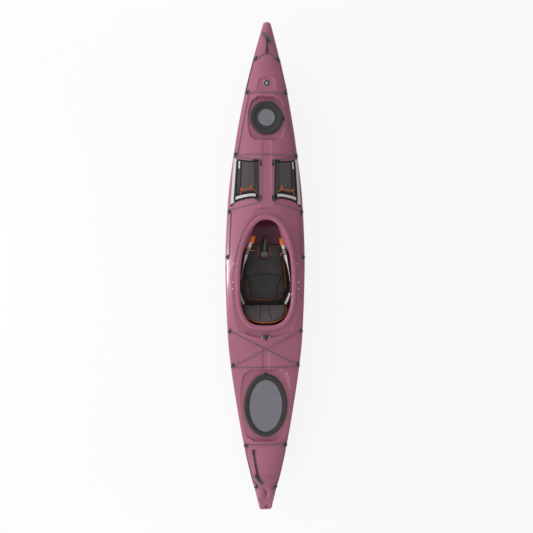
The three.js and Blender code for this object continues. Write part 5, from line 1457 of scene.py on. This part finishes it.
def seat_z(y):
    return 83 + 30 * (y - SEAT_REAR) / SEAT_LONG


def pad_half(y):
    """Half width of the cushion, with its rear corners rounded off in an ellipse."""
    corner = 1 - np.clip((y - SEAT_REAR) / 145, 0, 1)
    return seat_half(y) - 3 - 88 * (1 - np.sqrt(1 - corner**2))


def cushion_top(x, y):
    """Height of the cushion's cover before its seams."""
    row = np.clip((y - SEAT_REAR) / SEAT_LONG, 0, 1)
    half = pad_half(y)
    edge = np.minimum((half - np.abs(x)), np.minimum(row, 1 - row) * SEAT_LONG)
    rolled = np.clip(edge / EDGE_ROUND, 0, 1)
    return seat_z(y) + GAP + PAN_WALL + 34 + EDGE_ROUND * (np.sqrt(1 - (1 - rolled) ** 2) - 1) \
        + 9 * (1 - (x / half) ** 2) * np.sin(math.pi * row)


def seat_block():
    """The block that the cushion swells from: rows of points from the edge over the top."""
    shares = np.concatenate([[0, 0.02, 0.05], np.linspace(0.1, 0.9, 17), [0.95, 0.98, 1]])
    columns = np.concatenate([[-1, -0.985, -0.96], np.linspace(-0.9, 0.9, 25), [0.96, 0.985, 1]])
    arc_share = (ARC_Y - SEAT_REAR) / SEAT_LONG
    rings_ = []
    for share in shares:
        y = SEAT_REAR + 3 + (SEAT_LONG - 6) * share
        corner = min(min(share, 1 - share) / 0.06, 1)
        half = (pad_half(y) - 3) * (1 - 0.07 * (1 - math.sqrt(corner)))
        row = (y - SEAT_REAR) / SEAT_LONG
        bow = 0.35 * ARC_BEND * min(row / arc_share, (1 - row) / (1 - arc_share))
        ring = [(column * half, y - bow * column * column, cushion_top(column * half, y) - 3)
                for column in columns]
        base = seat_z(y) + GAP + PAN_WALL + 1
        rings_.append(ring + [(half, y - bow, base), (0, y, base), (-half, y - bow, base)])
    return loft("seat_cushion_cover", rings_, seat_cloth)


def notch_outline():
    """The cut-out at the front of the cushion, with its two inner corners cut off."""
    half, end, corner = NOTCH_HALF, SEAT_FRONT - NOTCH_DEPTH, 13.0
    right_half = [(half - corner, end), (half - 4, end + corner - 4), (half, end + corner),
                  (half, SEAT_FRONT + 30)]
    return np.array([(-x, y) for x, y in right_half[::-1]] + right_half)


def cushion_give(points):
    """How freely the cushion may swell: its foot stays in the pan."""
    height = points[:, 2] - seat_z(points[:, 1])
    return eased((height - 12) / 20) * 0.8 + 0.2 * (height > 8)


outline = notch_outline()
cushion = seat_block()
notch = loft("notch_cutter", [np.column_stack([outline, np.full(len(outline), z)]) for z in (40, 260)], None)
cut_away(cushion, notch)
padded(cushion, 5.5, 7.0, cushion_give)


def arc_line(x):
    return ARC_Y - ARC_BEND * (x / seat_half(ARC_Y)) ** 2


def side_seam_x(y):
    return np.interp(y, [-257, -225, -159, -101, -47, 8, 60], [103, 104, 110, 126, 148, 176, 200])


SEAM_WIDE, SEAM_DEEP = 4.0, 5.6


def seam_depth(points):
    x, y, z = points.T
    top = z > seat_z(y) + 22
    arc = np.exp(-((y - arc_line(x)) / SEAM_WIDE) ** 2)
    sides = np.exp(-((np.abs(x) - side_seam_x(y)) / SEAM_WIDE) ** 2)
    return np.maximum(arc, sides) * SEAM_DEEP * top





pressed(cushion, seam_depth, (0, 0, 1))
fit(cushion, "hull", "seat_fabric", "seat_cushion")
print("seat cushion:", len(cushion.data.vertices), "points")

# %% [markdown]
# ## Piping and stitching of the seat
# The cushion's edge is bound in orange piping, a thin cord sewn into the seam: along both sides, across
# the front and round the notch where the leg lifter comes through. In the valley that was pressed for each
# seam lies a dark tube of painted shade between two rows of stitches. All are worked out from the same
# lines as the valleys.

# %% Seat trim
def on_cushion(x, y, lift=0.0):
    """A point on the cushion's cover. The cover is found by a ray from above."""
    hit, place, *_ = cushion.ray_cast(Vector((x * MM, y * MM, 0.4)), Vector((0, 0, -1)))
    return np.array([x, y, (place.z / MM if hit else cushion_top(x, y)) + lift])


def cushion_rim(step=14.0):
    """Half of the cushion's outline, just inside its edge, from the front to the middle of the rear."""
    line = [(pad_half(y) - 4.0, y) for y in np.arange(SEAT_FRONT - 26, SEAT_REAR + 5, -step)]
    return line + [(84, SEAT_REAR + 6), (58, SEAT_REAR + 4), (30, SEAT_REAR + 3.5), (0, SEAT_REAR + 3.5)]


def seat_piping():
    """The piping of both sides. It dives under the straps, further aft on the port side."""
    edge, end = NOTCH_HALF + 1.5, SEAT_FRONT - NOTCH_DEPTH - 2
    notch_edge = [(edge, SEAT_FRONT - 17), (edge, SEAT_FRONT - 40), (edge, SEAT_FRONT - 66), (edge, end + 16),
                  (edge - 8, end + 6), (edge - 15, end), (18, end), (0, end)]
    made = []
    for s, dive_from in ((-1, -80), (1, 20)):
        side = [on_cushion(s * x, y, 0.3) + eased((y - dive_from) / 50) * np.array([s * 5.0, 0, -15.0])
                for x, y in cushion_rim()]
        made.append(tube("piping_side", rounded_line(side, 20), 2.0, piping, 8))
        front = [on_cushion(s * x, SEAT_FRONT - 7 - 0.0006 * x * x, 0.4)
                 for x in np.linspace(132, NOTCH_HALF + 8, 8)]
        front += [on_cushion(s * x, y, 0.2) for x, y in notch_edge]
        made.append(tube("piping_front", rounded_line(front, 7), 2.0, piping, 8))
    return fit(join("seat_orange_piping", made), "hull", "seat_fabric")


def seat_seams():
    """Two rows of stitches beside each seam, one down the middle, and the dark tubes of painted shade in the
    seam valleys.
    """
    def across(half, offset, lift):
        return [on_cushion(x, arc_line(x) + offset, lift) for x in np.linspace(-half, half, 41)]

    def down(s, places, offset, lift):
        return [on_cushion(s * (side_seam_x(y) + offset), y, lift) for y in places]

    made = []
    for offset in (-2.6, 2.6):
        made.append(stitches(across(150, offset, 0.1), UP))
        made += [stitches(down(s, np.linspace(SEAT_REAR + 20, 0, 30), offset, 0.1), UP) for s in (-1, 1)]
    made.append(stitches([on_cushion(0, y, 0.1) for y in np.linspace(84, -20, 20)], UP))
    made.append(painted_seam_shade(across(158, 0, -0.8)))
    made += [painted_seam_shade(down(s, np.linspace(SEAT_REAR + 14, 30, 34), 0, -0.8)) for s in (-1, 1)]
    return fit(join("seat_seam_stitches", made), "hull", "seat_fabric")


print("seat trim:", [o.name for o in (seat_piping(), seat_seams())])

# %% [markdown]
# ## The back rest
# It is a D-shaped pad on a plastic plate that hinges at its foot. It is built upright on its hinge and then
# leaned back by the hinge's own matrix, so each line can be written in the pad's plane. Two seams divide its
# face in three, and its curved edge is bound in orange. It rides on the hinged body and folds with it.

# %% Back rest
BACK_HINGE = (0.0, -285.0, 128.0)
BACK_LEAN, BACK_HEIGHT, BACK_FOOT, BACK_THICK = math.radians(46), 205.0, 16.0, 34.0
BACK_SEAM_WIDE, BACK_SEAM_DEEP = 4.5, 4.2
BACK_RIM_INSET, BACK_RIM_WIDE, BACK_RIM_DEEP = 11, 3.5, 1.8
back_half = curve_through([16, 69.7, 102.5, 135.3, 164, 186.5, 198.8, 205],
                          [166, 184, 179.4, 162.8, 136.2, 99.4, 73.6, 53.4])
BACK_MATRIX = Matrix.Translation([v * MM for v in BACK_HINGE]) @ Matrix.Rotation(BACK_LEAN, 4, "X")


def back_block():
    low, high = BACK_FOOT + EDGE_ROUND, BACK_HEIGHT
    rings_ = []
    for share in (0, 0.02, 0.06, 0.12, 0.2, 0.3, 0.4, 0.5, 0.6, 0.7, 0.8, 0.88, 0.94, 0.98, 1):
        z = low + (high - low) * share
        half = back_half(z) - 4
        ends = min(share, 1 - share) * BACK_HEIGHT
        ring = []
        for column in np.concatenate([[-1, -0.98, -0.95], np.linspace(-0.88, 0.88, 19), [0.95, 0.98, 1]]):
            rolled = min(min(half * (1 - abs(column)), ends) / EDGE_ROUND, 1)
            deep = BACK_THICK - 4 - EDGE_ROUND + EDGE_ROUND * math.sqrt(1 - (1 - rolled) ** 2)
            ring.append((column * half, GAP + deep, z))
        rings_.append(ring + [(half, GAP + 1, z), (0, GAP + 1, z), (-half, GAP + 1, z)])
    return loft("back_rest_cover", rings_, back_cloth)


def back_seam_x(z):
    """The two seams splay towards the top."""
    return 33 + 19 * np.clip((z - 28) / 177, 0, 1) ** 2


def back_seams(points):
    x, y, z = points.T
    face = y > 12
    seams = np.exp(-((np.abs(x) - back_seam_x(z)) / BACK_SEAM_WIDE) ** 2)
    rim = np.exp(-((edge_gap(x, z) - BACK_RIM_INSET) / BACK_RIM_WIDE) ** 2) * (z > 60)
    return (seams * BACK_SEAM_DEEP + rim * BACK_RIM_DEEP) * face


def edge_gap(x, z):
    """How far a point of the pad's face lies inside its curved edge."""
    return np.minimum(back_half(z) - np.abs(x), (BACK_HEIGHT - z) * 1.05)


back_rest = back_block()
for s in (-1, 1):
    corners = [(s * 112 + u, v) for u, v in ((-14, -18), (14, -18), (14, 18), (-14, 18))]
    cut_away(back_rest, loft("lug_room", [[(x, y, z) for x, y in corners] for z in (-20, 40)], None))
padded(back_rest, 5.0, 5.5, lambda p: eased((p[:, 1] - 3) / 16))
pressed(back_rest, back_seams, (0, 1, 0))


def on_back(x, z, lift):
    """A point on the pad's face, found by a ray from in front."""
    hit, place, *_ = back_rest.ray_cast(Vector((x * MM, 0.2, z * MM)), Vector((0, -1, 0)))
    return np.array([x, (place.y / MM if hit else BACK_THICK) + lift, z])


def back_edge_line():
    """Half of the pad's curved edge, seen square to its plane."""
    line = [(back_half(z) - 3.0, z) for z in np.linspace(40, 193, 26)]
    return line + [(78, 197.5), (60, 201.5), (40, 204), (20, 205), (0, 205)]


def back_seam(s, low, high, steps, offset, lift):
    return [on_back(s * back_seam_x(z) + offset, z, lift) for z in np.linspace(low, high, steps)]


edge = back_edge_line()
full_edge = [np.array([x, 11.0, z]) for x, z in edge + [(-x, z) for x, z in edge[-2::-1]]]
back_piping = tube("back_rest_orange_piping", rounded_line(full_edge, 30), 3.1, piping, 8)
sewn = [stitches(back_seam(s, 34, 192, 26, offset, 0.1), (0, 1, 0))
        for s in (-1, 1) for offset in (-2.6, 2.6)]
# Dark tubes in the two seam valleys of the back rest: painted shade.
sewn += [painted_seam_shade(back_seam(s, 30, 196, 28, 0, -0.8)) for s in (-1, 1)]
back_stitches = join("back_rest_stitches", sewn)
for piece in (back_rest, back_piping, back_stitches):
    piece.data.transform(BACK_MATRIX)
fit(back_rest, "seat_back", "seat_back_fabric", "seat_back_cushion")
fit(back_piping, "seat_back", "seat_back_fabric")
fit(back_stitches, "seat_back", "seat_back_fabric")
print("back rest:", len(back_rest.data.vertices), "points")

# %% [markdown]
# ## Deck bags
# Each bag is a pocket of mesh laced to the deck ahead of the cockpit. Going out from the middle it is a black
# binding, a dark strip, grey mesh, a black piping, a dark panel, a broad black piping and a strip of pale
# fabric along the gunwale. It is one sheet between four corners, with finishes that follow its own u and v.

# %% Bag sheets
BAG = dict(fore_outer=(252.0, 0.2283 * HULL_LENGTH), fore_inner=(68.0, 0.2205 * HULL_LENGTH),
           aft_inner=(64.0, 0.1417 * HULL_LENGTH), aft_outer=(279.0, 0.13071 * HULL_LENGTH))


def bag_xy(u, v):
    """u runs from the middle of the boat outwards, v from aft to fore. Both cross edges are curved."""
    inner = np.array(BAG["aft_inner"]) * (1 - v) + np.array(BAG["fore_inner"]) * v
    outer = np.array(BAG["aft_outer"]) * (1 - v) + np.array(BAG["fore_outer"]) * v
    x, y = inner * (1 - u) + outer * u
    return x, y - 9 * math.sin(math.pi * u) * v**3 + 28 * (1 - abs(2 * u - 1) ** 3.2) * (1 - v) ** 3


def bag_height(u, v):
    """How far the cloth stands off the deck: tight at its edges, slack and a little creased in the middle."""
    plump = (math.sin(math.pi * min(max(u, 0), 1)) * math.sin(math.pi * min(max(v, 0), 1)))
    crease = 0.9 * math.sin(9 * u + 5 * v + 2 * math.sin(6 * v)) * math.sin(7 * v - 4 * u)
    return 3.4 + 9.5 * plump**0.55 + crease * plump


def on_bag(side, u, v, lift=0.0):
    x, y = bag_xy(u, v)
    return on_deck(side * x, y, bag_height(u, v) + lift)


ZONES = [(0.035, "binding"), (0.125, "dark"), (0.165, "binding"), (0.655, "mesh"), (0.705, "binding"),
         (0.80, "dark"), (0.905, "binding"), (1.0, "pale")]
BAG_FINISH = {"binding": binding, "mesh": mesh_grey, "dark": dark_panel, "pale": light_panel}
ZONE_LIFT = {"binding": 1.3, "pale": 0.7, "dark": 0.2, "mesh": 0.0}


def bag_zone(u, v):
    if 0.055 < v < 0.135 and 0.10 < u < 0.83:
        return "pale"
    if v < 0.06 or v > 0.965:
        return "binding" if u < 0.875 else "pale"
    if (v < 0.135 and u < 0.875) or (v < 0.215 and 0.12 < u < 0.8):
        return "binding"
    if v > 0.80 and 0.74 < u < 0.79:
        return "pale"
    return next(name for limit, name in ZONES if u <= limit)


def bag_sheet(name, side, columns=70, rows=90):
    us, vs, kinds = np.linspace(0, 1, columns), np.linspace(0, 1, rows), list(BAG_FINISH)
    places = [(u, v) for v in vs for u in us]
    points = [on_bag(side, u, v, ZONE_LIFT[bag_zone(u, v)]) for u, v in places]
    uv = [(0.197 * u, 0.31 * v) for u, v in places]
    piece = mesh_piece(name, points, grid_faces(rows, columns), None, uv=np.array(uv))
    for kind in kinds:
        piece.data.materials.append(BAG_FINISH[kind])
    for polygon, (row, column) in zip(piece.data.polygons, np.ndindex(rows - 1, columns - 1)):
        zone = bag_zone((us[column] + us[column + 1]) / 2, (vs[row] + vs[row + 1]) / 2)
        polygon.material_index = kinds.index(zone)
    if side < 0:
        piece.data.flip_normals()
    thick_ = piece.modifiers.new("cloth", "SOLIDIFY")
    thick_.thickness, thick_.offset = 0.0012, -1
    return piece


def bag_edge(side, start, end, radius, material):
    """A bound edge or a piping, straight in the sheet's own u and v."""
    shares = np.linspace(0, 1, 24)[:, None]
    line = [on_bag(side, u, v, 0.4) for u, v in np.array(start) * (1 - shares) + np.array(end) * shares]
    return tube("bag_edge", line, radius, material, 8)


def corner_band(side, fore):
    """A padded band that is bent round an inner corner and reinforces it. A grey tube along its crown is a
    painted highlight.
    """
    _, y0 = bag_xy(0.0, float(fore))
    toward = 1 if fore else -1
    path = [(104, 4), (82, 11), (60, 11), (49, 1)] if fore else [(100, -22), (80, -8), (61, 4), (50, -1)]
    line = [on_deck(side * x, y0 + toward * forward, 5.5) for x, forward in [*path, (47, -20), (49, -34)]]
    pad = tube("corner_band", rounded_line(line, 12), 6.6, binding, 12)
    # A grey tube along the band's crown: painted highlight.
    crown = rounded_line([point + 5.8 * UP for point in line[1:5]], 12)
    return join("corner_band", [pad, tube("corner_painted_highlight", crown, 1.7, grey_strap, 8)])


def cord_grip(place, run):
    """A small cord lock with two ribs: what the fingers pinch on the lacing."""
    run = unit(run)
    across = unit(np.cross(run, UP))
    rings_ = []
    for t in np.linspace(0, 1, 13):
        r = (3.2 + 0.6 * math.cos(t * math.pi * 6)) * math.sqrt(max(1 - (2 * t - 1) ** 6, 0.05))
        rings_.append(ellipse(place + run * (t - 0.5) * 13, across * r * 0.85, UP * r * 0.7, 14))
    return loft("cord_grip", rings_, orange_strap)


LACES = {"left": ((0.66, 0.190), (0.64, 0.270), (0.28, 0.290), (0.12, 0.215)),
         "right": ((0.17, 0.215), (0.26, 0.280), (0.70, 0.265), (0.74, 0.180))}
LACE_LOOPS = {"left": ((0.64, 0.31), (0.28, 0.34)), "right": ((0.26, 0.33), (0.70, 0.30))}


def lacing(label, side):
    """The orange shock cord that closes a bag, through two webbing loops."""
    first, a, b, last_ = LACES[label]
    middle = ((a[0] + b[0]) / 2, (a[1] + b[1]) / 2 - 0.012)
    spots = ((first, 2.6), (a, 4.2), (middle, 3.0), (b, 4.2), (last_, 2.6))
    line = rounded_line([on_bag(side, *spot, lift) for spot, lift in spots], bend=8)
    cord = fit(tube(f"bag_lacing_{label}", line, 2.5, orange_cord, 8), "hull", "deck_cord")
    grips = [cord_grip(line[0], line[0] - line[2]), cord_grip(line[-1], line[-1] - line[-3])]
    for u, v in LACE_LOOPS[label]:
        loop = [(*on_bag(side, u, v + ahead, lift), 0)
                for ahead, lift in ((0.03, 0.8), (-0.005, 4.8), (-0.04, 2.2))]
        grips.append(ribbon("lace_loop", loop, 9, 1.4, [(1.0, orange_strap)]))
    trim = fit(join(f"bag_lace_loops_{label}", grips), "hull", "bag_mesh")


BAG_EDGES = [
    ((0.0, 0.0), (0.0, 1.0), 2.4, binding), ((0.0, 1.0), (0.9, 1.0), 2.8, binding),
    ((0.0, 0.0), (1.0, 0.0), 2.8, binding), ((0.68, 0.14), (0.68, 0.98), 2.2, binding),
    ((0.842, 0.02), (0.842, 0.98), 2.6, binding), ((0.145, 0.14), (0.145, 0.97), 2.0, binding),
    ((0.9, 1.0), (1.0, 1.0), 1.8, light_strap), ((1.0, 0.0), (1.0, 1.0), 1.8, light_strap)]
for label, side in SIDES:
    bag = bag_sheet(f"deck_bag_sheet_{label}", side)
    fit(bag, "hull", "bag_mesh", f"deck_bag_{label}")
    trims = [bag_edge(side, *edge) for edge in BAG_EDGES]
    trims.append(knot("bag_knot", on_bag(side, 0.97, 0.0, 2.6), (side, 0.4, 0), 10.0, binding))
    trims += [corner_band(side, fore) for fore in (False, True)]
    edges = fit(join(f"deck_bag_trim_{label}", trims), "hull", "bag_mesh")
    lacing(label, side)

# %% [markdown]
# ## Carry toggles
# At each end a T-shaped grip hangs on a doubled cord, which loops through a deck eye and both ends of which
# go into the grip's hub. The grip is grey, with a waist for each finger, and the black of its underside is
# painted shade. It rides on its own hinged body, so it can be lifted by the hinge at the eye.

# %% Toggles
def toggle(label, eye, hub_xy, turn, forward, body):
    """A grip on a doubled cord that goes through an eye. turn is the way the grip points, in degrees."""
    rise = 10 + CORD_LIFT
    centre = on_deck(*hub_xy, rise)
    away = 12 * unit((centre - eye[:3, 3]) * (1, 1, 0))
    start, end = centre - away, on_deck(*(centre + away)[:2], rise)
    along = np.array([math.cos(math.radians(turn)), math.sin(math.radians(turn)), 0.0])
    rings_ = []
    for t in np.linspace(-1, 1, 61):
        radius = 8 + 3 * (1 - abs(t)) ** 0.8 + 0.55 * math.cos(t * math.pi * 5)
        tip = min((1 - abs(t)) * 50 / 6, 1)
        radius *= math.sqrt(max(1 - (1 - tip) ** 2, 0.02))
        rings_.append(ellipse(end + along * 50 * t, np.cross(UP, along) * radius, UP * radius * 0.92, 32))
    grip = loft(f"{label}_toggle_grip", rings_, grip_grey)
    grip.data.materials.append(nylon)
    for polygon in grip.data.polygons:
        # Faces below the grip's middle get black nylon: painted shade on the underside.
        polygon.material_index = int(polygon.center.z / MM < end[2] + 2.0)
    rings_ = []
    for t in np.linspace(0, 1, 15):
        radius = 10 * math.sqrt(max(1 - max(1 - 4 * t, 0) ** 2 * 0.7, 0.05)) + 0.4 * math.cos(t * math.pi * 8)
        radius = min(radius, 10.0)
        rings_.append(ellipse(start + (end - start) * t, unit(np.cross(away, UP)) * radius, UP * radius, 28))
    hub = loft(f"{label}_toggle_hub", rings_, nylon)
    fit(join(f"{label}_toggle_grip", [grip, hub]), body, "toggle_plastic", f"{label}_toggle")
    legs = [start + np.array([s * 4.4, 0, 0]) + away * 0.5 for s in (-1, 1)]
    mouth = [through(eye, (x, forward * LANE * 0.75, CORD_RISE + 1)) for x in (-11, 11)]
    neck = [through(eye, (x, forward * 24, CORD_RISE - 1)) for x in (-3.9, 3.9)]
    there, again = lay(legs[0], neck[0], CORD_THICK), lay(neck[1], legs[1], CORD_THICK)
    route = [legs[0], *there, neck[0], *mouth, neck[1], *again, legs[1]]
    deck_line(f"{label}_toggle_cord", route, body, CORD_THICK, black_cord, "toggle_cord", "object")
    return centre


def twisted_bungee(hub):
    """The grey elastic that is wound round the stern toggle's cord near its eye."""
    eye_end = through(STERN_EYE, (0, -16, CORD_RISE - 1))
    toward = unit(hub - eye_end)
    centre = np.array([on_deck(*(eye_end + toward * reach)[:2], 4.4) for reach in np.arange(0, 84, 1.5)])
    run = np.linspace(0, 1, len(centre))
    strands = []
    for phase in (0, math.pi):
        wound = [8.0 * np.cos(run * 17 + phase), 0 * run, 2.8 * np.sin(run * 16 + phase) + 3.5]
        strands.append(tube("strand", centre + np.stack(wound, axis=1), 1.9, deck_cord, 8))
    fit(join("stern_toggle_bungee", strands), "stern_carry_toggle", "deck_cord")


grip_grey = moulded("toggle_grip_grey", rgb(88, 88, 91), 0.42)
BOW_HUB, STERN_HUB = (0.0, 0.44042 * HULL_LENGTH + 97), (-97.0 + 35, -0.379 * HULL_LENGTH - 211)
toggle("bow", BOW_EYE, BOW_HUB, -40, 1, "bow_carry_toggle")
twisted_bungee(toggle("stern", STERN_EYE, STERN_HUB, -50, -1, "stern_carry_toggle"))

# %% [markdown]
# ## Small pieces on the deck
# A kayak's deck is dotted with things the size of a coin: pale-capped screws beside the coaming and through
# the rear hook, with its nylon tongue, a round badge in its own recess, a blanking plug, and the threaded
# drain plug on the shelf at the stern. The white caps beside the coaming are a painted glint, and the black
# screw in the blanking plug is painted shade of its hole. The badge is left blank, with a turned rim and a
# plain face.

# %% Screws, badge and plugs
def turned_piece(name, matrix, profile, materials, steps=48):
    """A round piece from radius and height pairs. materials are (index of the first ring, material)."""
    piece = loft(name, [ellipse((0, 0, z), (r, 0, 0), (0, r, 0), steps) for r, z in profile], materials[0][1])
    for _, material in materials[1:]:
        piece.data.materials.append(material)
    for i, polygon in enumerate(piece.data.polygons):
        row = min(i // steps, len(profile) - 1)
        polygon.material_index = sum(1 for first, _ in materials[1:] if row >= first)
    return moved_to(matrix, piece)


def finished_deck(x, y, lift=0.0):
    """A frame on the finished deck, with its recesses."""
    made = deck_frame(x, y, False, deck_height, 2.0)
    made[2, 3] += lift
    return made


def screw_at(name, matrix, radius, material):
    return [moved_to(matrix, part) for part in screw(name, (0, 0, 0), radius, material)]


# The pale caps on the coaming screws are a painted glint. On the rear hook they are the screws' white caps.
pale_cap_and_painted_glint = moulded("pale_screw_cap_and_painted_glint", rgb(226, 223, 225), 0.35)
screws = [part for side in (-1, 1) for x, y in ((251, 42), (262, -103), (262, -155))
          for part in screw_at("coaming_screw", finished_deck(side * x, y, 0.1), 6.4, pale_cap_and_painted_glint)]
fit(join("coaming_side_screws", screws), "hull", "black_nylon")

hook_trim = [part for x in (-28, 28) for part in screw("rear_hook_screw", (x, 0, 3.4), 4.6, pale_cap_and_painted_glint)]
hook_trim.append(rounded_bar("rear_hook_tongue", (0, -8, 2.4), (0, -31, 2.4), 9, 2.2, UP, nylon))
hook_trim = [moved_to(REAR_HOOK, piece) for piece in hook_trim]
fit(join("rear_hook_trim", hook_trim), "hull", "black_nylon")

BADGE_PROFILE = [(26.5, -1.5), (26.5, 1.2), (25.8, 2.3), (23.8, 2.6), (22.6, 1.7), (12.4, 1.9), (11.2, 2.6),
                 (6, 3.0), (1, 3.1)]
BADGE_FINISHES = [(0, steel), (3, nylon), (6, steel)]
badge = turned_piece("blank_round_badge", finished_deck(0, 1445), BADGE_PROFILE, BADGE_FINISHES)
fit(badge, "hull", "black_nylon")

BLANK_PROFILE = [(15, -1), (15, 1.6), (14, 2.8), (11, 3.2), (8.6, 2.6), (5, 2.4), (1, 2.4)]
blank_plug = turned_piece("stern_blanking_plug", finished_deck(19, -1643), BLANK_PROFILE, [(0, hull_finish)])
# The black screw stands where the plug has a dark hole: painted shade.
painted_hole_shade_screw = screw_at("stern_blanking_plug_painted_hole_shade", finished_deck(9, -1643, 2.0), 5.0, nylon)
fit(join("stern_blanking_plug", [blank_plug, *painted_hole_shade_screw]), "hull", "hull_plastic")

PLUG_PROFILE = [  # radius, height and how deep the knurl is
    (5.0, -15.6, 0), (5.0, 0.0, 0), (7.5, 0.3, 1), (8, 0.9, 1), (8, 4.3, 1), (7.5, 5.2, 0.6), (6.2, 5.3, 0),
    (5.6, 4.0, 0), (2.0, 4.0, 0), (1.8, 5.0, 0), (0.5, 5.0, 0)]
turns, head_rings = around(144), []
for radius, z, knurl in PLUG_PROFILE:
    reach = radius - 0.5 * knurl * (0.5 + 0.5 * np.cos(turns * 18))
    head_rings.append(np.column_stack([reach * np.cos(turns), reach * np.sin(turns) + PLUG_Y,
                                       np.full(len(turns), SHELF_Z + GAP + z)]))
drain = fit(loft("threaded_drain_plug", head_rings, nylon), "plug", "black_nylon", "drain_plug")
print("small pieces:", badge.name, drain.name)

# %% [markdown]
# ## Pieces that keep their CAD shape
# The seat pan, the plate of the back rest, the foot braces and the foam bulkheads already have their true
# shape in the frame, so they only need a finish and softer edges. A bevel modifier rounds what a mould or a
# knife would round, and it doesn't touch the mesh itself.

# %% Finishes on CAD pieces
def dress(node, material, softness):
    obj = nodes[node]
    if not obj.material_slots:
        obj.data.materials.append(material)
    for slot in obj.material_slots:
        slot.material = material
    return bevelled(obj, softness)


for node, material, softness in (
        ("seat_pan", shell_black, 1.2), ("seat_back_frame", shell_black, 1.5),
        ("bow_bulkhead", foam_grey, 1.5), ("stern_bulkhead", foam_grey, 1.5),
        ("foot_rail_left", nylon, 1.2), ("foot_rail_right", nylon, 1.2),
        ("foot_pedal_left", nylon, 2.0), ("foot_pedal_right", nylon, 2.0)):
    dress(node, material, softness)
print("dressed:", [n for n in nodes if nodes[n].modifiers])

# %% [markdown]
# ## The studio
# The photograph has no surroundings: the boat floats on white. Here the room itself gives the light, and it
# is brighter to port. One narrow key light from port draws the long highlight, and two low lamps off the
# ends draw short ones. The floor is white to the camera, but still takes a faint shadow.

# %% Floor, backdrop and lights
FLOOR_HALF, FLOOR_Z, FLOOR_GLOW = 14.0, -0.002, 0.86


def studio_floor():
    """A floor that mostly glows white to the camera, and partly takes the light of the room."""
    finish = Finish("white_studio_floor")
    floor_mesh = bpy.data.meshes.new("studio_floor")
    corners = [(x * FLOOR_HALF, y * FLOOR_HALF, FLOOR_Z) for x, y in ((-1, -1), (1, -1), (1, 1), (-1, 1))]
    floor_mesh.from_pydata(corners, [], [(0, 1, 2, 3)])
    floor = added("studio_floor", floor_mesh)
    floor_mesh.materials.append(finish.material)
    shade = finish.mix(finish.noise(0.7, detail=1) * 0.02, (0.93, 0.93, 0.93), (0.9, 0.9, 0.9))
    finish.feed("Base Color", shade)
    finish.surface.inputs["Roughness"].default_value = 0.9
    ray = finish.node("ShaderNodeLightPath", output="Is Camera Ray")
    glow = finish.node("ShaderNodeEmission", values={"Color": (1.0, 1.0, 1.0), "Strength": 1.0})
    surface = Wire(finish, finish.surface.outputs[0])
    blend = finish.node("ShaderNodeMixShader", values={0: ray * FLOOR_GLOW, 1: surface, 2: glow})
    finish.put(finish.tree.nodes["Material Output"].inputs["Surface"], blend)


def studio_light(name, place, size, power, target=(0, 0, 0.2)):
    data = bpy.data.lights.new(name, "AREA")
    data.shape, data.size, data.size_y, data.energy = "RECTANGLE", *size, power
    light = added(name, data)
    light.location = place
    light.rotation_euler = (Vector(target) - Vector(place)).to_track_quat("-Z", "Y").to_euler()


def room_light():
    """A white room for the camera, and a light that fades from port to starboard for all else."""
    world = bpy.data.worlds.new("white_room")
    world.use_nodes = True
    bpy.context.scene.world = world
    tree = world.node_tree
    background = tree.nodes["Background"]
    background.inputs["Color"].default_value = (1, 1, 1, 1)
    path_node, facing, split, ramp, strength = (tree.nodes.new("ShaderNode" + kind) for kind in (
        "LightPath", "TexCoord", "SeparateXYZ", "MapRange", "MapRange"))
    for field, value in (("From Min", -1.0), ("From Max", 1.0), ("To Min", 0.98), ("To Max", 0.22)):
        ramp.inputs[field].default_value = value
    strength.inputs["To Max"].default_value = 1.0
    for source, target in (
            (facing.outputs["Generated"], split.inputs[0]), (split.outputs["X"], ramp.inputs["Value"]),
            (ramp.outputs[0], strength.inputs["To Min"]),
            (path_node.outputs["Is Camera Ray"], strength.inputs["Value"]),
            (strength.outputs[0], background.inputs["Strength"])):
        tree.links.new(source, target)


room_light()
studio_floor()
studio_light("key_from_port", (-4.0, -0.1, 1.6), (0.6, 0.1), 40)
studio_light("low_light_from_bow", (-1.5, 4.0, 1.8), (0.3, 0.3), 22)
studio_light("low_light_from_stern", (-1.5, -4.0, 1.8), (0.3, 0.3), 22)
